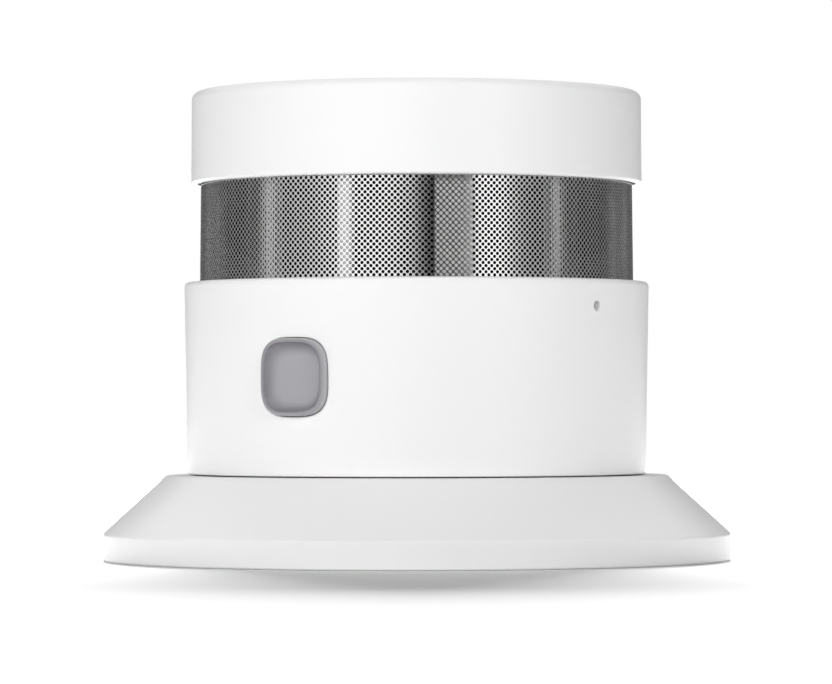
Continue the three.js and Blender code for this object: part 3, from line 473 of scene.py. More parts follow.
@dataclass(frozen=True)
class Opening:
    """A rounded opening through the housing's wall, with the block of wall round it.

    The opening is a superellipse seen along the line from the axis. Its edge is rounded, and the
    block is the part of the wall's grid that its rings take the place of.
    """

    bearing: float
    height: float
    half: float
    power: float
    narrowing: float
    edge: float
    block_half_angle: float
    block_half_height: float
    spacing: float

    def columns(self) -> np.ndarray:
        """Bearings of the block's grid lines."""
        count = 2 * round(self.block_half_angle / self.spacing)
        return self.bearing + np.linspace(-self.block_half_angle, self.block_half_angle, count + 1)

    def levels(self, radius: float) -> np.ndarray:
        """Levels of the block's grid lines on a wall of about this radius."""
        count = 2 * round(self.block_half_height / (self.spacing * radius))
        return self.height + np.linspace(-self.block_half_height, self.block_half_height, count + 1)

    def rings(self, outer: "Wall", inner: "Wall") -> np.ndarray:
        """Works out the rings from the block's outer border, through the hole, to its inner border.

        A ring on a face is a straight mix of the block's border and the opening's edge, laid on
        the face, and the rings of the lip between the outer face and the hole are a quarter circle.

        Args:
            outer: The wall's outer face.
            inner: The wall's inner face.

        Returns:
            A grid of points, a row for each ring.
        """
        columns, levels = self.columns(), self.levels(outer.top_radius)
        along, upright = np.ones(len(columns) - 1), np.ones(len(levels) - 1)
        bearing = np.concatenate(
            [columns[:-1], columns[-1] * upright, columns[:0:-1], columns[0] * upright]
        )
        level = np.concatenate([levels[0] * along, levels[:-1], levels[-1] * along, levels[:0:-1]])
        swing = bearing - self.bearing
        squeeze = self.narrowing
        angle = np.arctan2(level - self.height, outer.radius(level) * np.sin(swing))
        share = np.linspace(1, 0, WALL_ROWS)[:, None]
        grids = []
        for wall, margin in ((outer, self.edge), (inner, 0.0)):
            across, up = superellipse(angle, self.half + margin, self.power)
            side = share * wall.radius(level) * np.sin(swing) + (1 - share) * across * squeeze
            height = share * level + (1 - share) * (self.height + up)
            out = np.sqrt(wall.radius(height) ** 2 - side**2)
            grids.append(facing(self.bearing, side, out, height))
        turn = np.linspace(0, math.pi / 2, LIP_STEPS + 1)[1:, None]
        across, up = superellipse(angle, self.half + self.edge * (1 - np.sin(turn)), self.power)
        across = across * squeeze
        surface = np.sqrt(outer.radius(self.height + up) ** 2 - across**2)
        out = surface - self.edge * (1 - np.cos(turn))
        lip = facing(self.bearing, across, out, self.height + up)
        return np.concatenate([grids[0], lip, grids[1][::-1]])


@dataclass(frozen=True)
class Wall:
    """One face of the housing's drafted wall: its radius falls evenly from its top level down."""

    top_radius: float
    top: float
    draft: float

    def radius(self, height: np.ndarray | float) -> np.ndarray | float:
        """The face's radius at a height."""
        return self.top_radius - self.draft * (self.top - height)


def place(
    piece: bpy.types.Object, body: Body, finish: bpy.types.Material
) -> bpy.types.Object:
    """Dresses a new piece and sets it on its body.

    Args:
        piece: The new object.
        body: The body that it rides on.
        finish: Its material.

    Returns:
        The same object.
    """
    piece.data.materials.clear()
    piece.data.materials.append(finish)
    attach(piece, body.value)
    LOG.info("%s: %d faces, on %s", piece.name, len(piece.data.polygons), body.value)
    return piece


class NodeTree:
    """A node tree under construction, with short calls for its nodes."""

    def __init__(self, tree: bpy.types.NodeTree) -> None:
        """Takes up a tree."""
        self.tree, self.nodes, self.links = tree, tree.nodes, tree.links

    def add(self, kind: str, settings: dict | None = None, **inputs: object) -> bpy.types.Node:
        """Adds one node.

        Args:
            kind: The node's type.
            settings: Values of the node's own properties.
            inputs: Values of its sockets, or the outputs that feed them. A socket goes by its
                name, or by i and its number.

        Returns:
            The node.
        """
        node = self.nodes.new(kind)
        for name, value in (settings or {}).items():
            setattr(node, name, value)
        self.join(node, inputs)
        return node

    def join(self, node: bpy.types.Node, inputs: dict[str, object]) -> None:
        """Sets a node's inputs to values, or links them to other nodes' outputs.

        Args:
            node: The node.
            inputs: The values and outputs, named as in add.
        """
        for name, value in inputs.items():
            numbered = name[0] == "i" and name[1:].isdigit()
            socket = node.inputs[int(name[1:]) if numbered else name.replace("_", " ")]
            if isinstance(value, bpy.types.NodeSocket):
                self.links.new(value, socket)
            else:
                socket.default_value = value

    def combine(self, operation: str, first: object, second: object) -> bpy.types.NodeSocket:
        """Puts two values or outputs through a Math node."""
        return self.add("ShaderNodeMath", {"operation": operation}, i0=first, i1=second).outputs[0]

    def mix(self, mask: bpy.types.NodeSocket, low: Colour, high: Colour) -> bpy.types.NodeSocket:
        """Mixes two colours by a mask."""
        node = self.add("ShaderNodeMix", {"data_type": "RGBA"}, Factor=mask, i6=low, i7=high)
        return node.outputs[2]

    def stretch(
        self, value: bpy.types.NodeSocket, low: float, high: float, start: float, end: float
    ) -> bpy.types.NodeSocket:
        """Maps a value from the range start to end onto the range low to high."""
        limits = {"From_Min": start, "From_Max": end, "To_Min": low, "To_Max": high}
        return self.add("ShaderNodeMapRange", Value=value, **limits).outputs["Result"]


class Recipe(NodeTree):
    """A material under construction."""

    def __init__(self, name: str, **sockets: float | Colour) -> None:
        """Starts the material.

        Args:
            name: The material's name.
            sockets: Constants on its Principled shader's sockets.
        """
        self.material = bpy.data.materials.new(name)
        self.material.use_nodes = True
        super().__init__(self.material.node_tree)
        self.shader = self.nodes["Principled BSDF"]
        self.join(self.shader, sockets)

    def group(self, tree: bpy.types.NodeTree, **inputs: object) -> bpy.types.NodeSocket:
        """Adds a shared group with its own values and gives its output."""
        return self.add("ShaderNodeGroup", {"node_tree": tree}, **inputs).outputs[0]

    def feed(self, socket: str, source: bpy.types.NodeSocket) -> None:
        """Links a changing value to one of the shader's sockets."""
        self.links.new(source, self.shader.inputs[socket])

    def vary_gloss(self, mask: bpy.types.NodeSocket, low: float, high: float) -> None:
        """Lets the roughness change over the surface between two levels, by a mask."""
        self.feed("Roughness", self.stretch(mask, low, high, 0.0, 1.0))

    def bump(self, height: bpy.types.NodeSocket, depth: float) -> None:
        """Feeds a height into the shader's normal through a Bump node, at a depth in metres."""
        node = self.add("ShaderNodeBump", Strength=1.0, Distance=depth, Height=height)
        self.feed("Normal", node.outputs["Normal"])


class GroupMaker(NodeTree):
    """A shared node group under construction, with one output."""

    def __init__(self, name: str, output: str, **inputs: float) -> None:
        """Starts the group.

        Args:
            name: The group's name.
            output: The name of its output.
            inputs: Its named inputs and their usual values.
        """
        super().__init__(bpy.data.node_groups.new(name, "ShaderNodeTree"))
        for socket, value in inputs.items():
            self.socket(socket, "INPUT").default_value = value
        self.socket(output, "OUTPUT")
        self.start = self.nodes.new("NodeGroupInput")
        self.end = self.nodes.new("NodeGroupOutput")
        self.place = self.add("ShaderNodeTexCoord").outputs["Object"]

    def socket(self, name: str, way: str) -> bpy.types.NodeTreeInterfaceSocket:
        """Makes one of the group's inputs or outputs."""
        return self.tree.interface.new_socket(name, in_out=way, socket_type="NodeSocketFloat")

    def finish(self, result: bpy.types.NodeSocket) -> bpy.types.NodeTree:
        """Links the result to the group's output and hands the group over."""
        self.links.new(result, self.end.inputs[0])
        return self.tree


def grain_group() -> bpy.types.NodeTree:
    """Builds the fine grain of a moulded or cast face: two layers of noise as a height.

    Returns:
        The group.
    """
    group = GroupMaker("moulded_grain", "Height", Size=4000.0)
    size = group.start.outputs["Size"]
    fine = group.add("ShaderNodeTexNoise", Vector=group.place, Scale=size, Detail=2.0)
    coarse_size = group.combine("MULTIPLY", size, COARSE_SHARE)
    coarse = group.add("ShaderNodeTexNoise", Vector=group.place, Scale=coarse_size, Detail=1.0)
    return group.finish(group.combine("ADD", fine.outputs["Fac"], coarse.outputs["Fac"]))


def smudge_group() -> bpy.types.NodeTree:
    """Builds the soft uneven patches that handling leaves on a face, as a mask from 0 to 1.

    Returns:
        The group.
    """
    group = GroupMaker("handling_smudge", "Mask", Size=45.0, Low=0.42, High=0.7)
    size = group.start.outputs["Size"]
    noise = group.add("ShaderNodeTexNoise", Vector=group.place, Scale=size, Detail=1.0)
    mask = group.add(
        "ShaderNodeMapRange",
        {"interpolation_type": "SMOOTHSTEP"},
        Value=noise.outputs["Fac"],
        From_Min=group.start.outputs["Low"],
        From_Max=group.start.outputs["High"],
    )
    return group.finish(mask.outputs["Result"])


def streak_group() -> bpy.types.NodeTree:
    """Builds the rolling marks of sheet metal: noise stretched along the height, as a value.

    Returns:
        The group.
    """
    group = GroupMaker("rolled_streaks", "Value", Size=1500.0, Stretch=0.02)
    axes = group.add("ShaderNodeSeparateXYZ", Vector=group.place).outputs
    flat = group.combine("MULTIPLY", axes["Z"], group.start.outputs["Stretch"])
    stretched = group.add("ShaderNodeCombineXYZ", X=axes["X"], Y=axes["Y"], Z=flat)
    noise = group.add(
        "ShaderNodeTexNoise",
        Vector=stretched.outputs["Vector"],
        Scale=group.start.outputs["Size"],
        Detail=2.0,
    )
    return group.finish(noise.outputs["Fac"])


PAINTED_SHADE_ATTRIBUTE = "resin_depth"  # the point attribute that carries the painted shade of the button's dish
GRAIN = grain_group()
SMUDGE = smudge_group()
STREAKS = streak_group()


def grey(level: float) -> Colour:
    """A neutral colour of that linear level."""
    return (level, level, level, 1.0)


class Finish:
    """A finish that makes one material."""

    def build(self) -> bpy.types.Material:
        """Makes the material."""
        return self.recipe().material

    def recipe(self) -> Recipe:
        """Sets out the material's nodes."""
        raise NotImplementedError


@dataclass(frozen=True)
class MouldedPlastic(Finish):
    """Injection-moulded plastic: a fine grain, and gloss that handling makes slightly uneven."""

    name: str
    color: Colour
    roughness: float = 0.34
    grain_size: float = 4200.0
    grain_depth: float = 2.5e-6
    index: float = 1.5
    smoother: float = 0.97
    rougher: float = 1.04

    def recipe(self) -> Recipe:
        """Sets out the material's nodes.

        Returns:
            The recipe.
        """
        recipe = Recipe(self.name, Base_Color=self.color, Roughness=self.roughness, IOR=self.index)
        smudge = recipe.group(SMUDGE, Low=0.1, High=0.9)
        recipe.vary_gloss(smudge, self.roughness * self.smoother, self.roughness * self.rougher)
        recipe.bump(recipe.group(GRAIN, Size=self.grain_size), self.grain_depth)
        return recipe


@dataclass(frozen=True)
class RolledMetal(Finish):
    """Sheet or turned metal with rolling marks in its gloss and its tone."""

    name: str
    color: Colour
    roughness: float = 0.24
    spread: float = 0.08
    streak_size: float = 1500.0
    stretch: float = 0.02
    depth: float = 8e-7
    darker: float = 0.88
    streak_range: tuple[float, float] = (0.3, 0.7)

    def recipe(self) -> Recipe:
        """Sets out the material's nodes.

        Returns:
            The recipe.
        """
        recipe = Recipe(self.name, Base_Color=self.color, Metallic=1.0, Roughness=self.roughness)
        streaks = recipe.group(STREAKS, Size=self.streak_size, Stretch=self.stretch)
        low, high = self.roughness - self.spread / 2, self.roughness + self.spread / 2
        recipe.feed("Roughness", recipe.stretch(streaks, low, high, *self.streak_range))
        shaded = (*(self.darker * part for part in self.color[:3]), 1.0)
        recipe.feed("Base Color", recipe.mix(streaks, shaded, self.color))
        recipe.bump(streaks, self.depth)
        return recipe


@dataclass(frozen=True)
class PrintedBoard(Finish):
    """Solder-masked laminate with the lighter lines of its copper tracks."""

    name: str
    mask: Colour = (0.012, 0.09, 0.036, 1.0)
    track: Colour = (0.022, 0.15, 0.06, 1.0)
    track_depth: float = 2e-5

    def recipe(self) -> Recipe:
        """Sets out the material's nodes.

        Returns:
            The recipe.
        """
        recipe = Recipe(self.name, Base_Color=self.mask, Roughness=0.36)
        tracks = recipe.add(
            "ShaderNodeTexBrick",
            {"offset": 0.37, "squash": 1.6},
            Vector=recipe.add("ShaderNodeTexCoord").outputs["Object"],
            Scale=620.0,
            Mortar_Size=0.09,
        ).outputs["Fac"]
        recipe.feed("Base Color", recipe.mix(tracks, self.mask, self.track))
        recipe.bump(tracks, self.track_depth)
        return recipe


@dataclass(frozen=True)
class SmokedLens(Finish):
    """The test button's smoky, slightly clear plastic, darkened by painted shade on its dish's slopes and lip."""

    name: str
    # the button's colour where it has no painted shade, and the colour of the full painted shade
    unshaded_colour: Colour = (0.46, 0.455, 0.475, 1.0)
    painted_shade_colour: Colour = (0.205, 0.2, 0.22, 1.0)
    roughness: float = 0.34
    smoother: float = 0.9
    rougher: float = 1.25
    grain_depth: float = 1e-6

    def recipe(self) -> Recipe:
        """Sets out the material's nodes.

        Returns:
            The recipe.
        """
        recipe = Recipe(self.name, Base_Color=self.unshaded_colour, Roughness=self.roughness, IOR=1.6)
        # painted shade: the point attribute darkens the dish's slopes and lip towards the shade colour
        depth = recipe.add("ShaderNodeAttribute", {"attribute_name": PAINTED_SHADE_ATTRIBUTE}).outputs["Fac"]
        recipe.feed("Base Color", recipe.mix(depth, self.unshaded_colour, self.painted_shade_colour))
        smudge = recipe.group(SMUDGE, Size=160.0)
        recipe.vary_gloss(smudge, self.roughness * self.smoother, self.roughness * self.rougher)
        recipe.bump(recipe.group(GRAIN, Size=5200.0), self.grain_depth)
        return recipe


@dataclass(frozen=True)
class CastResin(Finish):
    """Clear cast resin of a lamp, cloudy enough to show its body."""

    name: str
    color: Colour
    grain_depth: float = 4e-6

    def recipe(self) -> Recipe:
        """Sets out the material's nodes.

        Returns:
            The recipe.
        """
        constants = {"Roughness": 0.12, "IOR": 1.53, "Transmission_Weight": 0.6}
        recipe = Recipe(self.name, Base_Color=self.color, **constants)
        recipe.bump(recipe.group(GRAIN, Size=900.0), self.grain_depth)
        return recipe


@dataclass(frozen=True)
class FiredCeramic(Finish):
    """A fired ceramic disc with its silvered face."""

    name: str
    color: Colour = (0.62, 0.6, 0.54, 1.0)
    silver: Colour = (0.78, 0.77, 0.73, 1.0)
    grain_depth: float = 3e-6

    def recipe(self) -> Recipe:
        """Sets out the material's nodes.

        Returns:
            The recipe.
        """
        recipe = Recipe(self.name, Base_Color=self.color, Roughness=0.5)
        smudge = recipe.group(SMUDGE, Size=320.0, Low=0.35, High=0.6)
        recipe.feed("Base Color", recipe.mix(smudge, self.color, self.silver))
        recipe.bump(recipe.group(GRAIN, Size=7000.0), self.grain_depth)
        return recipe


@dataclass
class MountingBase:
    """The flared base: shell, slotted floor, ribs in its channel and twist-lock ledges.

    The angles of the lock are in degrees.
    """

    layout: Layout
    rim_height: float = 3.5
    shoulder_radius: float = 32.3
    shoulder_round: float = 0.75
    rim_round: float = 0.3
    rim_edge: float = 0.55
    wall: float = 2.5
    floor_thickness: float = 2.2
    socket_radius: float = 27.4
    socket_wall: float = 2.7
    floor_radius: float = 24.0
    slot_width: float = 3.8
    slot_length: float = 9.0
    slot_spacing: float = 36.0
    slot_steps: int = 16
    ledge_levels: tuple[float, float] = (5.3, 7.5)
    ledge_inner: float = 25.4
    ledge_half_angle: float = 10.0
    lug_turn: float = 20.0
    stop_angle: float = 3.0
    rib_count: int = 12
    rib_width: float = 1.2
    rib_foot: float = 0.5
    foot_edge: float = 0.3
    root_fillet: float = 0.6
    channel_fillet: float = 0.8
    socket_edge: float = 0.35
    socket_fillet: float = 0.5
    ledge_edge: float = 0.2
    sunk: float = 0.3
    locks: int = 3
    first_lock: float = 60.0
    columns: int = 288

    def flare(self, inset: float) -> tuple[tuple[float, float], tuple[float, float]]:
        """Works out the flare's corners, moved into the wall.

        Args:
            inset: How far the corners lie inside the outer face.

        Returns:
            The rim corner and the shoulder corner, as radius and height.
        """
        rim = self.layout.base_radius
        slope = math.atan2(self.layout.base_height - self.rim_height, rim - self.shoulder_radius)
        drop = inset * (1 - math.sin(slope)) / math.cos(slope)
        back = inset * (1 - math.cos(slope)) / math.sin(slope)
        return (rim - inset, self.rim_height - drop), (
            self.shoulder_radius - back,
            self.layout.base_height - inset,
        )

    def shell(self) -> bpy.types.Object:
        """Turns the shell's section and closes it with the slotted floor.

        Returns:
            The shell.
        """
        top = self.layout.base_height
        socket_outer = self.socket_radius + self.socket_wall
        rim, shoulder = self.flare(0)
        inner_rim, inner_shoulder = self.flare(self.wall)
        outline = rounded(
            [
                (self.floor_radius, 0, 0),
                (socket_outer, 0, self.foot_edge),
                (socket_outer, inner_shoulder[1], self.root_fillet),
                (*inner_shoulder, self.channel_fillet),
                (*inner_rim, self.channel_fillet),
                (inner_rim[0], 0, self.foot_edge),
                (rim[0], 0, self.rim_round),
                (*rim, self.rim_edge),
                (*shoulder, self.shoulder_round),
                (self.socket_radius, top, self.socket_edge),
                (self.socket_radius, self.floor_thickness, self.socket_fillet),
                (self.floor_radius, self.floor_thickness, 0),
            ]
        )
        surface = Surface()
        surface.add_grid(turned(outline, full_circle(self.columns)), close_columns=True)
        self.add_floor(surface)
        return surface.to_object("base_shell")

    def add_floor(self, surface: Surface) -> None:
        """Adds the floor's two faces, with the slots' holes between them.

        A slot is two half circles joined by straight sides.

        Args:
            surface: Where the faces go.
        """
        bearings = full_circle(self.columns)
        border = np.stack([np.sin(bearings), -np.cos(bearings)], axis=1) * self.floor_radius
        half = (self.slot_length - self.slot_width) / 2
        angle = np.linspace(0, math.pi, self.slot_steps + 1)
        arc = np.stack([np.cos(angle), np.sin(angle)], axis=1) * self.slot_width / 2
        slot = np.concatenate([arc + [0, half], -arc - [0, half]])
        slots = [slot + [side * self.slot_spacing / 2, 0] for side in (-1, 1)]
        outlines = [border, *slots]
        flat = np.concatenate(outlines)
        lines = [[(*point, 0.0) for point in line] for line in outlines]
        corners = np.array(tessellate_polygon(lines))
        for level in (0.0, self.floor_thickness):
            face = np.column_stack([flat, np.full(len(flat), level)])
            surface.add_triangles(face, corners)
        for line in slots:
            levels = (0.0, self.floor_thickness)
            walls = [np.column_stack([line, np.full(len(line), level)]) for level in levels]
            surface.add_grid(np.stack(walls), close_columns=True)

    def ribs(self) -> bpy.types.Object:
        """Stands the ribs in the channel under the flare, each a plate that follows its section.

        Returns:
            The ribs, as one piece.
        """
        inset = self.wall / 2
        rim, shoulder = self.flare(inset)
        inner, foot = self.socket_radius + inset, self.rib_foot
        section = np.array([(inner, foot), (rim[0], foot), rim, shoulder, (inner, shoulder[1])])
        surface = Surface()
        for bearing in full_circle(self.rib_count):
            add_plate(surface, bearing, section, self.rib_width)
        return surface.to_object("base_ribs")

    def ledges(self) -> bpy.types.Object:
        """Sets the lock's ledges in the socket, each between the stops of the lug's turn.

        Returns:
            The ledges and their stops, as one piece.
        """
        low, high = self.ledge_levels
        outer = self.socket_radius + self.socket_wall / 2
        top = [(outer, high, 0), (self.ledge_inner, high, self.ledge_edge)]
        ledge = rounded([(self.ledge_inner, low, self.ledge_edge), (outer, low, 0), *top])
        foot = self.floor_thickness - self.sunk
        stop = rounded([(self.ledge_inner, foot, 0), (outer, foot, 0), *top])
        surface = Surface()
        half, stop_angle = math.radians(self.ledge_half_angle), math.radians(self.stop_angle)
        for lock in range(self.locks):
            turn = self.first_lock + 360.0 * lock / self.locks
            bearing = self.layout.button_bearing + math.radians(turn)
            far = bearing + half + math.radians(self.lug_turn)
            add_sector(surface, ledge, bearing - half, bearing + half)
            add_sector(surface, stop, bearing - half - stop_angle, bearing - half)
            add_sector(surface, stop, far, far + stop_angle)
        return surface.to_object("lock_ledges")

    def build(self, finish: bpy.types.Material) -> None:
        """Makes the base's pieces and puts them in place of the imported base.

        Args:
            finish: The material of its pieces.
        """
        shell = place(self.shell(), Body.BASE, finish)
        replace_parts(shell, "mounting_base")
        for piece in (self.ribs(), self.ledges()):
            place(piece, Body.BASE, finish)


@dataclass
class HeadHousing:
    """The white sleeve with its deck, the cage behind the screen and the fixings under the deck.

    The bearings of the posts and the duct are in degrees, and so is block_gap: an even grid line
    nearer than that to an opening's block is left out.
    """

    layout: Layout
    top_round: float = 0.6
    foot_round: float = 0.2
    foot_drop: float = 0.2
    deck_thickness: float = 2.25
    deck_opening: float = 25.6
    groove: tuple[float, float] = (27.4, 28.25)
    groove_depth: float = 1.3
    window_gap: float = 0.13
    window_power: float = 3.34
    window_narrowing: float = 0.965
    pinhole_radius: float = 0.65
    post_outer: float = 27.15
    post_inner: float = 25.75
    post_width: float = 1.6
    post_bearings: tuple[float, ...] = (-42.2, -19.2, 39.6, 72, 103, 134, 165, 196, 227, 258, 288.5)
    duct_bearing: float = 9.8
    duct_width: float = 4.7
    duct_wall: float = 0.5
    ring_opening: float = 23.5
    ring_levels: tuple[float, float] = (48.8, 50.0)
    snap_height: float = 2.1
    snap_bead: float = 0.5
    column_radius: float = 2.6
    thread_radius: float = 0.9
    web_width: float = 1.2
    board_gap: float = 0.15
    soft_edge: float = 0.2
    fine_edge: float = 0.1
    ring_edge: float = 0.15
    opening_edge: float = 0.12
    block_gap: float = 0.4
    even_columns: int = 240
    ring_columns: int = 160
    column_columns: int = 32
    pillar_over: float = 0.8
    bore_over: float = 0.1
    bore_cover: float = 0.4

    @property
    def top(self) -> float:
        """The level of the housing's upper face."""
        return self.layout.housing_bottom + HOUSING_HEIGHT

    def openings(self) -> tuple[Opening, Opening]:
        """Describes the button's window and the reset hole.

        Returns:
            The window and the hole.
        """
        window = Opening(
            self.layout.button_bearing,
            self.layout.button_height,
            self.layout.button_half + self.window_gap,
            self.window_power,
            self.window_narrowing,
            edge=self.opening_edge,
            block_half_angle=math.radians(14),
            block_half_height=7.2,
            spacing=math.radians(0.5),
        )
        pinhole = Opening(
            self.layout.pinhole_bearing,
            self.layout.pinhole_height,
            self.pinhole_radius,
            2.0,
            1.0,
            edge=self.opening_edge,
            block_half_angle=math.radians(2.8),
            block_half_height=1.45,
            spacing=math.radians(0.35),
        )
        return window, pinhole

    def sleeve(self) -> bpy.types.Object:
        """Turns the sleeve's section and opens the window and the reset hole in its wall.

        The section is turned on grid lines that run along the borders of both openings' blocks. The
        cells of the two blocks are left out on both faces of the wall, and the openings' rings fill
        their place.

        Returns:
            The sleeve.
        """
        bottom, top = self.layout.housing_bottom - self.foot_drop, self.top
        outer, inner = self.layout.wall(), self.layout.wall(HOUSING_WALL)
        deck = top - self.deck_thickness
        soft, fine = self.soft_edge, self.fine_edge
        outline = rounded(
            [
                (inner.radius(bottom), bottom, soft),
                (outer.radius(bottom), bottom, self.foot_round),
                (outer.top_radius, top, self.top_round),
                (self.groove[1], top, fine),
                (self.groove[1], top - self.groove_depth, 0),
                (self.groove[0], top - self.groove_depth, 0),
                (self.groove[0], top, fine),
                (self.deck_opening, top, soft),
                (self.deck_opening, deck, fine),
                (inner.radius(deck), deck, fine),
            ]
        )
        openings = self.openings()
        levels = np.concatenate([o.levels(outer.top_radius) for o in openings])
        outline = with_rows(outline, levels)
        even = full_circle(self.even_columns) - math.pi
        inside = np.zeros(len(even), bool)
        gap = math.radians(self.block_gap)
        for o in openings:
            inside |= np.abs(even - o.bearing) < o.block_half_angle + gap
        bearings = np.sort(np.concatenate([even[~inside], *(o.columns() for o in openings)]))
        radius, height = outline[:, 0], outline[:, 1]
        next_radius, next_height = np.roll(radius, -1), np.roll(height, -1)
        stands_out = np.minimum(
            radius - outer.radius(height), next_radius - outer.radius(next_height)
        )
        stands_in = np.minimum(
            radius - inner.radius(height), next_radius - inner.radius(next_height)
        )
        on_outer = stands_out > -TOUCH
        on_inner = np.maximum(radius, next_radius) < inner.top_radius + TOUCH
        on_inner &= stands_in > -TOUCH
        middle_level = (height + next_height) / 2
        middle_bearing = bearings + np.diff(bearings, append=bearings[0] + FULL_TURN) / 2
        keep = np.ones((len(outline), len(bearings)), bool)
        for o in openings:
            rows = (on_outer | on_inner) & (np.abs(middle_level - o.height) < o.block_half_height)
            keep &= ~(rows[:, None] & (np.abs(middle_bearing - o.bearing) < o.block_half_angle))
        surface = Surface()
        surface.add_grid(turned(outline, bearings), close_rows=True, close_columns=True, keep=keep)
        for o in openings:
            surface.add_grid(o.rings(outer, inner), close_columns=True)
        return surface.to_object("housing_sleeve")

    def cage(self) -> bpy.types.Object:
        """Builds the posts behind the screen, the wires' duct and the ring that takes the cap.

        Returns:
            The cage, as one piece.
        """
        low, high = self.ring_levels
        foot = self.top - self.deck_thickness / 2
        head = (low + high) / 2
        wall_top = high + self.snap_height
        bead = (high + wall_top) / 2
        section = rounded(
            [
                (self.post_inner, foot, 0),
                (self.post_outer, foot, 0),
                (self.post_outer, head, 0),
                (self.post_inner, head, 0),
            ]
        )
        surface = Surface()
        half = self.post_width / 2 / self.post_outer
        for degrees in self.post_bearings:
            bearing = math.radians(degrees)
            add_sector(surface, section, bearing - half, bearing + half)
        duct = math.radians(self.duct_bearing)
        reach = self.duct_width / 2 / self.post_outer
        cheek = self.duct_wall * 2 / self.post_outer
        face = section.copy()
        inner_side = face[:, 0] < (self.post_inner + self.post_outer) / 2
        face[inner_side, 0] = self.post_outer - self.duct_wall
        add_sector(surface, face, duct - reach + cheek / 2, duct + reach - cheek / 2)
        for side in (-1, 1):
            middle = duct + side * (reach - cheek / 2)
            add_sector(surface, section, middle - cheek / 2, middle + cheek / 2)
        soft, fine = self.soft_edge, self.fine_edge
        ring = rounded(
            [
                (self.ring_opening, low, self.ring_edge),
                (self.post_outer, low, fine),
                (self.post_outer, bead - self.snap_bead, fine),
                (self.post_outer + self.snap_bead, bead, soft),
                (self.post_outer, bead + self.snap_bead, fine),
                (self.post_outer, wall_top, soft),
                (self.post_inner, wall_top, soft),
                (self.post_inner, high, soft),
                (self.ring_opening, high, self.ring_edge),
            ]
        )
        add_turned(surface, ring, self.ring_columns)
        return surface.to_object("screen_cage")

    def add_column(
        self, surface: Surface, middle: np.ndarray, low: float, high: float, bore: float
    ) -> None:
        """Adds an upright column with a bore for a screw's thread, open at its lower end.

        Args:
            surface: Where the column goes.
            middle: The x and y of its axis.
            low: The level of its lower end.
            high: The level of its upper end.
            bore: The level at which the bore ends, if the column's cover leaves room for it.
        """
        reach = min(bore, high - self.bore_cover)
        outline = rounded(
            [
                (POLE, reach, 0),
                (self.thread_radius, reach, 0),
                (self.thread_radius, low, 0),
                (self.column_radius, low, self.soft_edge),
                (self.column_radius, high, 0),
                (POLE, high, 0),
            ]
        )
        add_turned(surface, outline, self.column_columns, middle)

    def fixings(self) -> bpy.types.Object:
        """Builds the bosses for the board's screws and the webbed pillars for the back's screws.

        Returns:
            The bosses, pillars and webs, as one piece.
        """
        deck = self.top - self.deck_thickness / 2
        reach = self.layout.head_radius - HOUSING_WALL / 2
        surface = Surface()
        for kind, carrier in (("board", "main_board"), ("back", "back_plate")):
            foot = corners_of(carrier)[1][2] + self.board_gap
            for number in (1, 2, 3):
                low, high = corners_of(f"{kind}_screw_{number}")
                middle, tip = (low[:2] + high[:2]) / 2, high[2]
                head = deck if kind == "board" else tip + self.pillar_over
                self.add_column(surface, middle, foot, head, tip + self.bore_over)
                if kind == "board":
                    continue
                far = float(np.hypot(*middle))
                bearing = math.atan2(middle[0], -middle[1])
                web = np.array([(far, foot), (reach, foot), (reach, head), (far, head)])
                add_plate(surface, bearing, web, self.web_width)
        return surface.to_object("housing_fixings")

    def build(self, finish: bpy.types.Material) -> None:
        """Makes the housing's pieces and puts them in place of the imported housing.

        Args:
            finish: The material of its pieces.
        """
        sleeve = place(self.sleeve(), Body.HEAD, finish)
        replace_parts(sleeve, "head_housing")
        place(self.cage(), Body.HEAD, finish)
        place(self.fixings(), Body.HEAD, finish)


